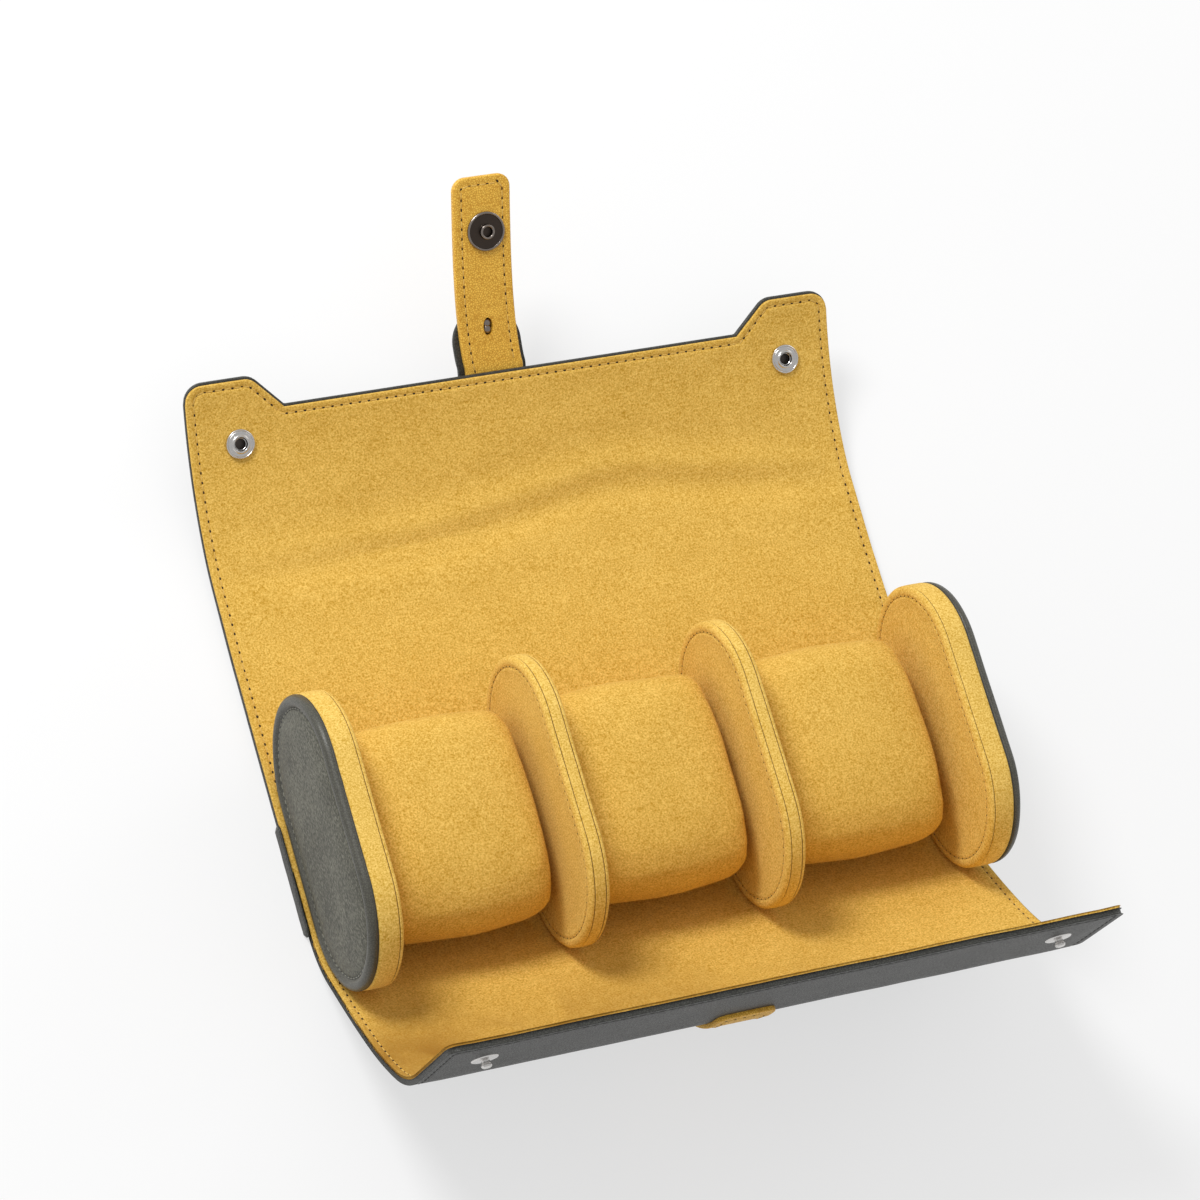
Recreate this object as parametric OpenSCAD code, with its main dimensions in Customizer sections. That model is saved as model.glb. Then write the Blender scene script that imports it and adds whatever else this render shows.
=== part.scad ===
// Watch travel case: a leather roll lined with suede, with three removable pillows
// held between two end walls and two dividers, closed by two press studs and a strap.
// X runs along the roll, +Y towards the back flap, Z up from the table.
// The origin is on the table, midway along the roll, under the middle of the core.

/* [Core] */
// Half of the straight stretch of a stadium shaped wall
core_half = 18.75; // [14:0.25:24]
// Radius of the round ends of a wall
core_r = 25.4; // [22:0.1:30]
// Length of the core from rim to rim, without the leather panels
core_len = 202; // [190:1:215]
// Width of an end wall's rim
rim_w = 8; // [6:0.5:10]
// Thickness of a divider
divider_w = 6.5; // [4:0.5:8]
// Middle of the first divider, from the middle of the roll
divider_1_x = -32.9; // [-36:0.1:-30]
// Middle of the second divider, from the middle of the roll
divider_2_x = 29.5; // [27:0.1:36]
// Thickness of the suede over the boards
cover_t = 0.8; // [0.6:0.1:1.2]
// How far the padded leather of an end panel stands out
panel_h = 3.2; // [2.4:0.1:4]
// Thickness of the leather over an end pad
panel_skin = 1; // [0.8:0.1:1.2]

/* [Wrap] */
// Width of the wrap along the roll
wrap_w = 210.6; // [204:0.2:220]
// Thickness of the wrap
wrap_t = 2.6; // [2.2:0.1:3.2]
// Thickness of the outer leather
leather_t = 1.1; // [0.8:0.1:1.2]
// Thickness of the board between leather and lining
board_t = 0.7; // [0.5:0.1:0.8]
// Gap at a fold
fold_gap = 0.3; // [0.2:0.05:0.4]

/* [Front flap] */
// Length and turn of the fixed curve beside the core
front_curve = [17, 36]; // [5:1:40]
// Straight length from the fixed curve to the first fold
front_straight = 10; // [6:0.5:12]
// Length and turn of the stretch after the first fold
front_1_run = [20.25, 4.5]; // [2:0.25:24]
// Length and turn of the stretch after the second fold
front_2_run = [20.25, 12]; // [6:0.25:24]
// Length and turn of the curve after the third fold
front_3_run = [18, 36]; // [10:1:40]
// Straight length up to the lip
lip_len = 31.5; // [28:0.5:36]
// Corner radius of the lip
lip_r = 4; // [2:0.5:8]

/* [Back flap] */
// Flat length from the core to the first fold
back_flat = 8.25; // [7:0.25:10]
// Length and turn after the first fold
back_1_run = [14.75, 0]; // [0:0.25:18]
// Length and turn after the second fold
back_2_run = [15.75, 0]; // [0:0.25:18]
// Length and turn after the third fold
back_3_run = [16.25, 2.8]; // [0:0.1:18]
// Length and turn after the fourth fold
back_4_run = [15, 0]; // [0:0.25:18]
// Length and turn of the curve after the fifth fold
back_5_run = [11, 9.4]; // [4:0.1:14]
// Length and turn of the last curve, up to the edge of the ears
ear_run = [50.5, 26]; // [20:0.5:54]
// How far the ears stand past the middle edge
ear_depth = 10; // [6:0.5:14]
// Half width of the middle edge between the ears
notch_half = 74; // [66:1:78]
// Half width where an ear's slanted side ends
ear_half = 84; // [80:1:88]
// Corner radius of the ears
ear_r = 6; // [3:0.5:9]

/* [Press studs] */
// Distance of the studs and sockets from the middle of the roll
snap_x = 89.5; // [84:0.5:92]
// Distance of the studs from the lip
stud_from_lip = 17; // [14:0.5:22]
// Distance of the sockets from the edge of the ears
socket_from_ear = 19.7; // [17:0.1:24]
// Outer diameter of a socket
socket_d = 9; // [8:0.5:10]
// Diameter of the hole in a socket
socket_hole_d = 4; // [3.8:0.1:4.4]
// Diameter of a stud's head
stud_d = 3.2; // [2.8:0.1:3.4]

/* [Strap] */
// Middle of the strap, from the middle of the roll
strap_x = -5.5; // [-12:0.5:12]
// Width of the strap
strap_w = 18.5; // [16:0.5:20]
// Thickness of the strap
strap_t = 2.2; // [1.8:0.1:2.6]
// Lengths of the strap's three stretches
strap_run = [18, 14.5, 25.3]; // [14:0.1:30]
// Distance of the snap from the strap's tip
strap_snap_from_tip = 16.7; // [14:0.1:19]
// Diameter of the strap's snap
strap_snap_d = 12; // [10:0.5:13]
// Width of the tongue behind the strap
tongue_w = 22; // [20:0.5:24]
// Thickness of the tongue
tongue_t = 1.6; // [1.2:0.1:2]
// Thickness of the tab on the front flap
tab_t = 1.6; // [1.2:0.1:2]
// Distance of the tab's end from the lip
tab_from_lip = 27; // [25:0.5:30]

/* [Pillows] */
// Length of a pillow along the roll
pillow_len = 53; // [48:0.5:54]
// Half depth of a pillow at its crown
pillow_half_y = 33.5; // [28:0.5:36]
// Half height of a pillow at its crown
pillow_half_z = 18.5; // [15:0.5:20]
// How far a pillow's sides draw in at its ends
pillow_draw = 2; // [0.5:0.5:3]

/* [Hidden] */

leather_colour = [0.27, 0.27, 0.25];
panel_colour = [0.42, 0.41, 0.38];
suede_colour = [0.87, 0.68, 0.28];
board_colour = [0.62, 0.6, 0.55];
foam_colour = [0.93, 0.91, 0.84];
nickel_colour = [0.8, 0.8, 0.8];
gunmetal_colour = [0.27, 0.25, 0.23];
strap_colour = [0.85, 0.65, 0.24];

// Step of the points along a curve, in degrees
curve_step = 2;
round_fn = 64;
// Half thickness of the wrap, which is also the radius of the bead at a fold
half_t = wrap_t / 2;
// Depths of the three layers, measured from the middle of the wrap
leather_top = -half_t + leather_t;
board_top = leather_top + board_t;
// Height of the middle of the core over the table
core_z = wrap_t + core_r;
// Longer than anything that a cutter has to reach
reach = 120;
// Points along a rounded corner
corner_steps = 8;

// A pose is [y, z, heading], and a run is [length, turn].
function radians(a) = a * PI / 180;
function bend_r(run) = run[0] / radians(run[1]);
function moved(p, run) = run[1] == 0
  ? [p[0] + run[0] * cos(p[2]), p[1] + run[0] * sin(p[2]), p[2]]
  : [p[0] + bend_r(run) * (sin(p[2] + run[1]) - sin(p[2])),
     p[1] - bend_r(run) * (cos(p[2] + run[1]) - cos(p[2])),
     p[2] + run[1]];
function part_of(run, f) = [run[0] * f, run[1] * f];
function steps(run) = run[1] == 0 ? 1 : ceil(run[1] / curve_step);
function along(p, run) = [for (k = [0:steps(run)]) moved(p, part_of(run, k / steps(run)))];
function shifted(p, d) = [p[0] - d * sin(p[2]), p[1] + d * cos(p[2])];
function flipped(p) = [-p[0], p[1], -p[2]];
function reversed(list) = [for (k = [len(list) - 1:-1:0]) list[k]];
function band(poses, low, high) = concat(
  [for (p = poses) shifted(p, low)],
  [for (p = reversed(poses)) shifted(p, high)]);
function arc(centre, r, a0, a1) = [for (k = [0:corner_steps])
  let (a = a0 + (a1 - a0) * k / corner_steps) centre + r * [cos(a), sin(a)]];

// Poses of the folds, from the core outwards. The front flap's are mirrored to -Y.
edge = [core_half, half_t, 0];
front_curved = moved(edge, front_curve);
fold_f1 = moved(front_curved, [front_straight, 0]);
fold_f2 = moved(fold_f1, front_1_run);
fold_f3 = moved(fold_f2, front_2_run);
front_bent = moved(fold_f3, front_3_run);
lip = moved(front_bent, [lip_len, 0]);
fold_b1 = moved(edge, [back_flat, 0]);
fold_b2 = moved(fold_b1, back_1_run);
fold_b3 = moved(fold_b2, back_2_run);
fold_b4 = moved(fold_b3, back_3_run);
fold_b5 = moved(fold_b4, back_4_run);
back_bent = moved(fold_b5, back_5_run);
ear_end = moved(back_bent, ear_run);
socket_pose = moved(back_bent, part_of(ear_run, 1 - socket_from_ear / ear_run[0]));
under_run = part_of(ear_run, 1 - ear_depth / ear_run[0]);
middle_edge = moved(back_bent, under_run);

front_path_0 = concat(along(edge, front_curve), [fold_f1]);
front_path_1 = along(fold_f1, front_1_run);
front_path_2 = along(fold_f2, front_2_run);
front_path_3 = concat(along(fold_f3, front_3_run), [lip]);
under_flap = along(back_bent, under_run);
back_path_5 = concat(along(fold_b5, back_5_run), under_flap,
  along(middle_edge, ear_run - under_run));
base_path = concat([for (p = reversed(front_path_0)) flipped(p)], [edge, fold_b1]);

// A flat shape in the plane across the roll, drawn out along X
module across(w) {
  rotate([90, 0, 90]) linear_extrude(w, center = true) children();
}

// One layer of the wrap along a path
module layer(poses, low, high) {
  across(wrap_w) polygon(band(poses, low, high));
}

// A rod along X at a fold
module rod(pose, r) {
  translate([0, pose[0], pose[1]]) rotate([0, 90, 0])
    cylinder(r = r, h = wrap_w, center = true, $fn = round_fn);
}

// Places children with Y along the heading and Z towards the inner face
module at(pose) {
  translate([0, pose[0], pose[1]]) rotate([pose[2], 0, 0]) children();
}

module to_front() {
  mirror([0, 1, 0]) children();
}

// Outer leather of one stretch: a bead closes it at its far fold, and its near end is
// hollowed to turn round the bead of the stretch before it
module leather(poses, start, end) {
  color(leather_colour) difference() {
    union() {
      layer(poses, -half_t, leather_top);
      if (end != undef) rod(end, half_t);
    }
    if (start != undef) rod(start, half_t + fold_gap);
  }
}

// A layer over the leather, cut clear of the beads at both ends
module inner_layer(poses, start, end, low, high, colour) {
  color(colour) difference() {
    layer(poses, low, high);
    if (end != undef) rod(end, half_t);
    if (start != undef) rod(start, half_t + fold_gap);
  }
}

// Outline of the lip end, as a block to cut the flap to shape
module lip_block() {
  side = wrap_w / 2;
  corner = arc([side - lip_r, -lip_r], lip_r, 0, 90);
  points = concat([[side, -reach]], corner, [for (p = reversed(corner)) [-p[0], p[1]]],
    [[-side, -reach]]);
  at(lip) linear_extrude(reach, center = true) polygon(points);
}

// Outline of the ear end: two ears with slanted inner sides and a lower middle edge
module ear_block() {
  side = wrap_w / 2;
  slant = atan2(ear_depth, ear_half - notch_half);
  tangent = ear_r * tan(slant / 2);
  half = concat(
    arc([notch_half - tangent, ear_r - ear_depth], ear_r, -90, slant - 90),
    arc([ear_half + tangent, -ear_r], ear_r, 90 + slant, 90),
    arc([side - ear_r, -ear_r], ear_r, 90, 0),
    [[side, -reach]]);
  points = concat(half, [for (p = reversed(half)) [-p[0], p[1]]]);
  at(ear_end) linear_extrude(reach, center = true) polygon(points);
}

// Shank holes and hollows of the press studs, on either flap
module snap_bores(pose, y, r, low, high) {
  at(pose) for (x = [-snap_x, snap_x]) translate([x, y, low])
    cylinder(r = r, h = high - low, $fn = round_fn);
}

module disc(r, h, z = 0) {
  translate([0, 0, z]) cylinder(r = r, h = h, $fn = round_fn);
}

// Base, which the core is sewn to
module base_leather() {
  color(leather_colour) union() {
    layer(base_path, -half_t, leather_top);
    rod(flipped(fold_f1), half_t);
    rod(fold_b1, half_t);
  }
}

module base_inner(low, high, colour) {
  color(colour) difference() {
    layer(base_path, low, high);
    rod(flipped(fold_f1), half_t);
    rod(fold_b1, half_t);
  }
}

module base_board() {
  base_inner(leather_top, board_top, board_colour);
}

module base_lining() {
  base_inner(board_top, half_t, suede_colour);
}

// Leather strip folded over each end of the base, below the end panel
strip_t = 0.8;
strip_h = 4;
strip_len = 34;
strip_y = -2.5;
module side_strips() {
  color(leather_colour) for (s = [-1, 1])
    translate([s * (wrap_w + strip_t) / 2, strip_y, strip_h / 2])
      cube([strip_t, strip_len, strip_h], center = true);
}

// Front flap
stud_hole_r = 1.2;
module stud_holes() {
  snap_bores(lip, -stud_from_lip, stud_hole_r, -reach / 2, reach / 2);
}

module front_leather_1() {
  to_front() leather(front_path_1, fold_f1, fold_f2);
}

module front_lining_1() {
  to_front() inner_layer(front_path_1, fold_f1, fold_f2, leather_top, half_t, suede_colour);
}

module front_leather_2() {
  to_front() leather(front_path_2, fold_f2, fold_f3);
}

module front_lining_2() {
  to_front() inner_layer(front_path_2, fold_f2, fold_f3, leather_top, half_t, suede_colour);
}

module lip_layer() {
  to_front() difference() {
    intersection() {
      children();
      lip_block();
    }
    stud_holes();
  }
}

module front_leather_3() {
  lip_layer() leather(front_path_3, fold_f3, undef);
}

module front_board_3() {
  lip_layer() inner_layer(front_path_3, fold_f3, undef, leather_top, board_top, board_colour);
}

module front_lining_3() {
  lip_layer() inner_layer(front_path_3, fold_f3, undef, board_top, half_t, suede_colour);
}

// Back flap
module back_leather_1() {
  leather(along(fold_b1, back_1_run), fold_b1, fold_b2);
}

module back_lining_1() {
  inner_layer(along(fold_b1, back_1_run), fold_b1, fold_b2, leather_top, half_t, suede_colour);
}

module back_leather_2() {
  leather(along(fold_b2, back_2_run), fold_b2, fold_b3);
}

module back_lining_2() {
  inner_layer(along(fold_b2, back_2_run), fold_b2, fold_b3, leather_top, half_t, suede_colour);
}

module back_leather_3() {
  leather(along(fold_b3, back_3_run), fold_b3, fold_b4);
}

module back_lining_3() {
  inner_layer(along(fold_b3, back_3_run), fold_b3, fold_b4, leather_top, half_t, suede_colour);
}

module back_leather_4() {
  leather(along(fold_b4, back_4_run), fold_b4, fold_b5);
}

module back_lining_4() {
  inner_layer(along(fold_b4, back_4_run), fold_b4, fold_b5, leather_top, half_t, suede_colour);
}

cap_shank_r = 2.6;
module ear_layer(hole_r) {
  difference() {
    intersection() {
      children();
      ear_block();
    }
    snap_bores(socket_pose, 0, hole_r, -half_t, half_t + strip_t);
  }
}

module back_leather_5() {
  ear_layer(cap_shank_r) leather(back_path_5, fold_b5, undef);
}

module back_board_5() {
  ear_layer(cap_shank_r) inner_layer(back_path_5, fold_b5, undef, leather_top, board_top, board_colour);
}

module back_lining_5() {
  ear_layer(cap_shank_r) inner_layer(back_path_5, fold_b5, undef, board_top, half_t, suede_colour);
}

// Walls of the core
module stadium(r, w) {
  translate([0, 0, core_z]) across(w) union() {
    square([2 * core_half, 2 * r], center = true);
    for (s = [-1, 1]) translate([s * core_half, 0]) circle(r = r, $fn = round_fn * 2);
  }
}

// Profile swept round a stadium: x is the distance from the middle line, y the height
module round_stadium(points) {
  for (s = [0, 180]) rotate(s) translate([core_half, 0])
    rotate(-90) rotate_extrude(angle = 180, $fn = round_fn * 2) polygon(points);
  rotate([90, 0, 90]) linear_extrude(2 * core_half, center = true)
    polygon(concat(points, [for (p = reversed(points)) [-p[0], p[1]]]));
}

wall_board_w = rim_w - cover_t;
module wall_board() {
  color(board_colour) translate([(core_len - wall_board_w) / 2, 0, 0])
    stadium(core_r - cover_t, wall_board_w);
}

module wall_cover() {
  color(suede_colour) difference() {
    translate([(core_len - rim_w) / 2, 0, 0]) stadium(core_r, rim_w);
    translate([(core_len - wall_board_w) / 2, 0, 0]) stadium(core_r - cover_t, wall_board_w);
  }
}

// Padded end panel: a soft crown, a stitched channel and a rolled edge
crown_channel = 4.5;
crown_dip = 1.9;
crown_steps = 8;
// The panel is this much smaller than the wall, and the pad this much than its crown
panel_in = 0.2;
pad_in = 0.6;
// Points of the rolled edge: how far in from the panel's edge, and height
welt = [[2.6, 2.5], [1.5, 2.7], [0.6, 2.3], [0, 1.4], [0, 0]];
function crown(r, drop) = [for (k = [0:crown_steps]) [r * k / crown_steps,
  crown_dip - drop + (panel_h - crown_dip) * cos(90 * pow(k / crown_steps, 2))]];

module on_wall() {
  translate([core_len / 2, 0, core_z]) rotate([90, 0, 90]) children();
}

module pad_form() {
  r = core_r - panel_in - crown_channel - pad_in;
  on_wall() round_stadium(concat(crown(r, panel_skin), [[r, 0], [0, 0]]));
}

module end_pad() {
  color(foam_colour) pad_form();
}

module end_panel() {
  edge_r = core_r - panel_in;
  rolled = [for (p = welt) [edge_r - p[0], p[1]]];
  color(panel_colour) difference() {
    on_wall() round_stadium(concat(crown(edge_r - crown_channel, 0), rolled, [[0, 0]]));
    pad_form();
  }
}

module to_left() {
  mirror([1, 0, 0]) children();
}

module divider_board(x) {
  color(board_colour) translate([x, 0, 0]) stadium(core_r - cover_t, divider_w - 2 * cover_t);
}

module divider_cover(x) {
  color(suede_colour) difference() {
    translate([x, 0, 0]) stadium(core_r, divider_w);
    translate([x, 0, 0]) stadium(core_r - cover_t, divider_w - 2 * cover_t);
  }
}

// Pillows: a crowned cushion whose sides draw in towards its ends
wall_in = core_len / 2 - rim_w;
bay_x = [(divider_1_x - divider_w / 2 - wall_in) / 2,
         (divider_1_x + divider_2_x) / 2,
         (divider_2_x + divider_w / 2 + wall_in) / 2];
pillow_gap = 0.4;
pillow_z = wrap_t + pillow_gap + pillow_half_z;
// The underside is cut flat this far up
pillow_flat = 0.5;
// Exponent of the rounded section, and the counts of its points and rings
section_power = 2.8;
section_points = 36;
pillow_rings = 16;
// Length over which an end rounds over, and how far it draws in there
end_round = 4.5;
foam_half_y = 18;
foam_r = 12;

function soft_sign(v, p) = sign(v) * pow(abs(v), p);
function end_in(u) = max(0, abs(u) - (pillow_len / 2 - end_round)) / end_round;
function ring_scale(u) = 1 - sqrt(max(0, 1 - pow(end_in(u), 2)));
function pillow_ring(u) =
  let (draw = pillow_draw * pow(2 * u / pillow_len, 2) + end_round * ring_scale(u))
  [for (k = [0:section_points - 1]) let (a = 360 * k / section_points)
    [u,
     (pillow_half_y - draw) * soft_sign(cos(a), 2 / section_power),
     max((pillow_half_z - draw) * soft_sign(sin(a), 2 / section_power),
       pillow_flat - pillow_half_z)]];
function ring_u(k) = -pillow_len / 2 * cos(180 * k / (pillow_rings - 1));

module pillow_form() {
  rings = [for (k = [0:pillow_rings - 1]) each pillow_ring(ring_u(k))];
  last = (pillow_rings - 1) * section_points;
  sides = [for (k = [0:pillow_rings - 2], j = [0:section_points - 1])
    let (a = k * section_points + j, b = k * section_points + (j + 1) % section_points)
    each [[a, b, b + section_points], [a, b + section_points, a + section_points]]];
  ends = [for (j = [1:section_points - 2]) each [[0, j + 1, j], [last, last + j, last + j + 1]]];
  polyhedron(points = rings, faces = concat(sides, ends));
}

module foam_form() {
  across(pillow_len - 2 * end_round) union() {
    square([2 * foam_half_y, 2 * foam_r], center = true);
    for (s = [-1, 1]) translate([s * foam_half_y, 0]) circle(r = foam_r, $fn = round_fn);
  }
}

module pillow_cover(k) {
  color(suede_colour) translate([bay_x[k], 0, pillow_z]) difference() {
    pillow_form();
    foam_form();
  }
}

module pillow_foam(k) {
  color(foam_colour) translate([bay_x[k], 0, pillow_z]) foam_form();
}

// Press studs on the front flap
stud_flange_r = 4;
stud_flange_h = 0.5;
stud_neck_r = 1.2;
stud_h = 2.9;
stud_head_h = 2.2;
module stud_shape() {
  head_r = stud_d / 2;
  disc(stud_flange_r, stud_flange_h);
  disc(stud_neck_r, stud_h - head_r);
  translate([0, 0, stud_h - head_r]) intersection() {
    sphere(r = head_r, $fn = round_fn);
    translate([0, 0, head_r - stud_head_h / 2])
      cube([2 * stud_d, 2 * stud_d, stud_head_h], center = true);
  }
}

module snap_studs() {
  color(nickel_colour) to_front() at(lip) for (x = [-snap_x, snap_x])
    translate([x, -stud_from_lip, -half_t]) mirror([0, 0, 1]) stud_shape();
}

stud_back_r = 3.6;
stud_back_h = 0.5;
module snap_stud_backs() {
  color(nickel_colour) to_front() at(lip) for (x = [-snap_x, snap_x])
    translate([x, -stud_from_lip, 0]) {
      disc(stud_hole_r, wrap_t + stud_back_h / 2, -half_t);
      disc(stud_back_r, stud_back_h, half_t);
    }
}

// Sockets on the lining of the back flap, and their caps outside
socket_h = 1;
socket_floor = -0.3;
// The rim stands clear of the curved lining, and a raised ring runs inside the rim
socket_foot = half_t + 0.1;
socket_ring_h = 0.25;
socket_ring_in = 1;
module socket_shape() {
  difference() {
    union() {
      disc(socket_d / 2, socket_h, socket_foot);
      disc(socket_d / 2 - socket_ring_in, socket_h + socket_ring_h, socket_foot);
      disc(cap_shank_r, socket_foot - socket_floor, socket_floor);
    }
    disc(socket_hole_d / 2, wrap_t + socket_h, socket_floor);
  }
}

module snap_sockets() {
  color(nickel_colour) at(socket_pose) for (x = [-snap_x, snap_x])
    translate([x, 0, 0]) socket_shape();
}

cap_r = 5;
cap_h = 0.9;
cap_step = 0.6;
module snap_socket_caps() {
  color(nickel_colour) at(socket_pose) for (x = [-snap_x, snap_x]) translate([x, 0, 0]) {
    disc(cap_shank_r, half_t + socket_floor, -half_t);
    disc(cap_r, cap_h / 2, -half_t - cap_h / 2);
    disc(cap_r - cap_step, cap_h, -half_t - cap_h);
  }
}

// Strap: three stretches that fold round the closed roll, on a root sewn under the flap
strap_off = -half_t - strap_t / 2;
strap_gap = 1.5;
strap_heading = middle_edge[2];
strap_start = concat(shifted(moved(middle_edge, [strap_gap, 0]), strap_off), [strap_heading]);
strap_bead = strap_t / 2;
strap_corner = 4;
strap_y = [0, strap_run[0], strap_run[0] + strap_run[1], strap_run[0] + strap_run[1] + strap_run[2]];
strap_tip = strap_y[3];
snap_y = strap_tip - strap_snap_from_tip;
rivet_y = 12.2;
slot_half = 1.1;
slot_r = 1.5;

module on_strap() {
  translate([strap_x, 0, 0]) at(strap_start) children();
}

module strap_rod(y, r) {
  translate([0, y, 0]) rotate([0, 90, 0])
    cylinder(r = r, h = strap_w, center = true, $fn = round_fn);
}

module strap_piece(from, to, hollow, bead) {
  difference() {
    union() {
      translate([0, (from + to) / 2, 0]) cube([strap_w, to - from, strap_t], center = true);
      if (bead) strap_rod(to, strap_bead);
    }
    if (hollow) strap_rod(from, strap_bead + fold_gap);
  }
}

// Last stretch of the outer face before the middle edge, and straight on past it
root_steps = 6;
function root_path(past) = concat(
  [for (k = [len(under_flap) - 1 - root_steps:len(under_flap) - 1]) under_flap[k]],
  [moved(middle_edge, [past, 0])]);

module strap_root() {
  color(strap_colour) translate([strap_x, 0, 0]) across(strap_w) union() {
    polygon(band(root_path(strap_gap), -half_t - strap_t, -half_t));
    translate([strap_start[0], strap_start[1]]) circle(r = strap_bead, $fn = round_fn);
  }
}

module strap_1() {
  color(strap_colour) on_strap() difference() {
    strap_piece(strap_y[0], strap_y[1], true, true);
    for (y = [-slot_half, slot_half]) translate([0, rivet_y + y, -strap_t])
      cylinder(r = slot_r, h = 2 * strap_t, $fn = round_fn);
    translate([0, rivet_y, 0]) cube([2 * slot_r, 2 * slot_half, 2 * strap_t], center = true);
  }
}

module strap_2() {
  color(strap_colour) on_strap() strap_piece(strap_y[1], strap_y[2], true, true);
}

snap_shank_r = 1.4;
module strap_3() {
  side = strap_w / 2;
  corner = arc([side - strap_corner, strap_tip - strap_corner], strap_corner, 0, 90);
  color(strap_colour) on_strap() difference() {
    linear_extrude(strap_t, center = true) polygon(concat([[side, strap_y[2]]], corner,
      [for (p = reversed(corner)) [-p[0], p[1]]], [[-side, strap_y[2]]]));
    strap_rod(strap_y[2], strap_bead + fold_gap);
    translate([0, snap_y, -strap_t]) cylinder(r = snap_shank_r, h = 2 * strap_t, $fn = round_fn);
  }
}

// Leather tongue sewn over the strap's root, and its rounded end behind the strap
tongue_reach = 18;
tongue_gap = 0.6;
module tongue_root() {
  color(leather_colour) translate([strap_x, 0, 0]) across(tongue_w)
    polygon(band(root_path(strap_gap - tongue_gap), -half_t - strap_t - tongue_t, -half_t - strap_t));
}

module tongue_tip() {
  straight = tongue_reach - tongue_w / 2;
  color(leather_colour) on_strap() translate([0, 0, -strap_t / 2 - tongue_t])
    linear_extrude(tongue_t) difference() {
      union() {
        translate([-tongue_w / 2, tongue_gap]) square([tongue_w, straight - tongue_gap]);
        intersection() {
          translate([0, straight]) circle(r = tongue_w / 2, $fn = round_fn);
          translate([-tongue_w, straight - tongue_gap]) square([2 * tongue_w, tongue_w]);
        }
      }
      translate([0, rivet_y]) circle(r = snap_shank_r, $fn = round_fn);
    }
}

// Rivet that shows in the strap's slot
rivet_head_r = 1.35;
rivet_head_h = 1.65;
rivet_cap_r = 2.6;
rivet_cap_h = 0.7;
module strap_rivet() {
  color(nickel_colour) on_strap() translate([0, rivet_y, -strap_t / 2]) {
    disc(snap_shank_r, tongue_t, -tongue_t);
    disc(rivet_head_r, rivet_head_h);
    disc(rivet_cap_r, rivet_cap_h, -tongue_t - rivet_cap_h);
  }
}

// Snap on the strap's inner face: a disc with a raised tube, and its cap outside
snap_disc_h = 0.9;
snap_rim_h = 0.55;
snap_rim_in = 0.5;
strap_cap_step = 0.8;
tube_r = 1.9;
tube_h = 2.1;
tube_bore_r = 1.2;
module strap_snap() {
  color(gunmetal_colour) on_strap() translate([0, snap_y, strap_t / 2]) difference() {
    union() {
      disc(strap_snap_d / 2, snap_rim_h);
      disc(strap_snap_d / 2 - snap_rim_in, snap_disc_h);
      disc(tube_r, tube_h);
    }
    disc(tube_bore_r, tube_h, snap_disc_h);
  }
}

module strap_snap_cap() {
  color(gunmetal_colour) on_strap() translate([0, snap_y, -strap_t / 2]) {
    disc(snap_shank_r, strap_t);
    disc(strap_snap_d / 2, cap_h / 2, -cap_h / 2);
    disc(strap_snap_d / 2 - strap_cap_step, cap_h, -cap_h);
  }
}

// Tab on the outside of the front flap, in two pieces that meet at the third fold
tab_gap = 0.9;
tab_foot = 1.4;
tab_snap_from_fold = 6.6;
tab_ring_r = 5;
tab_hole_r = 2.5;
tab_ring_h = 1.2;
tab_shank_r = 3;
tab_shank_h = tab_t - 0.1;
tab_end = lip_len - tab_from_lip;
module tab_upper() {
  color(strap_colour) to_front() translate([strap_x, 0, 0]) difference() {
    across(strap_w) polygon(band(
      concat(along(fold_f3, front_3_run), [moved(front_bent, [tab_end, 0])]),
      -half_t - tab_t, -half_t));
    at(fold_f3) translate([0, 0, -half_t - tab_t / 2])
      cube([2 * strap_w, tab_gap, 2 * tab_t], center = true);
  }
}

tab_snap_pose = moved(fold_f2, part_of(front_2_run, tab_snap_from_fold / front_2_run[0]));
module tab_lower() {
  color(strap_colour) to_front() translate([strap_x, 0, 0]) difference() {
    across(strap_w) polygon(band(front_path_2, -half_t - tab_t, -half_t));
    for (p = [fold_f2, fold_f3]) at(p) translate([0, 0, -half_t - tab_t / 2])
      cube([2 * strap_w, p == fold_f2 ? tab_foot : tab_gap, 2 * tab_t], center = true);
    at(tab_snap_pose) disc(tab_shank_r, 2 * tab_t, -half_t - 2 * tab_t);
  }
}

module tab_socket() {
  color(gunmetal_colour) to_front() translate([strap_x, 0, 0]) at(tab_snap_pose)
    translate([0, 0, -half_t - tab_t]) {
      difference() {
        disc(tab_ring_r, tab_ring_h, -tab_ring_h);
        disc(tab_hole_r, tab_ring_h, -tab_ring_h);
      }
      disc(tab_shank_r, tab_shank_h);
    }
}

base_leather();
base_board();
base_lining();
side_strips();
front_leather_1();
front_lining_1();
front_leather_2();
front_lining_2();
front_leather_3();
front_board_3();
front_lining_3();
back_leather_1();
back_lining_1();
back_leather_2();
back_lining_2();
back_leather_3();
back_lining_3();
back_leather_4();
back_lining_4();
back_leather_5();
back_board_5();
back_lining_5();
to_left() wall_board();  // left_wall_board
to_left() wall_cover();  // left_wall_cover
to_left() end_pad();  // left_pad
to_left() end_panel();  // left_panel
wall_board();  // right_wall_board
wall_cover();  // right_wall_cover
end_pad();  // right_pad
end_panel();  // right_panel
divider_board(divider_1_x);  // divider_board_1
divider_cover(divider_1_x);  // divider_cover_1
divider_board(divider_2_x);  // divider_board_2
divider_cover(divider_2_x);  // divider_cover_2
pillow_cover(0);  // pillow_cover_1
pillow_foam(0);  // pillow_foam_1
pillow_cover(1);  // pillow_cover_2
pillow_foam(1);  // pillow_foam_2
pillow_cover(2);  // pillow_cover_3
pillow_foam(2);  // pillow_foam_3
snap_studs();
snap_stud_backs();
snap_sockets();
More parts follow.
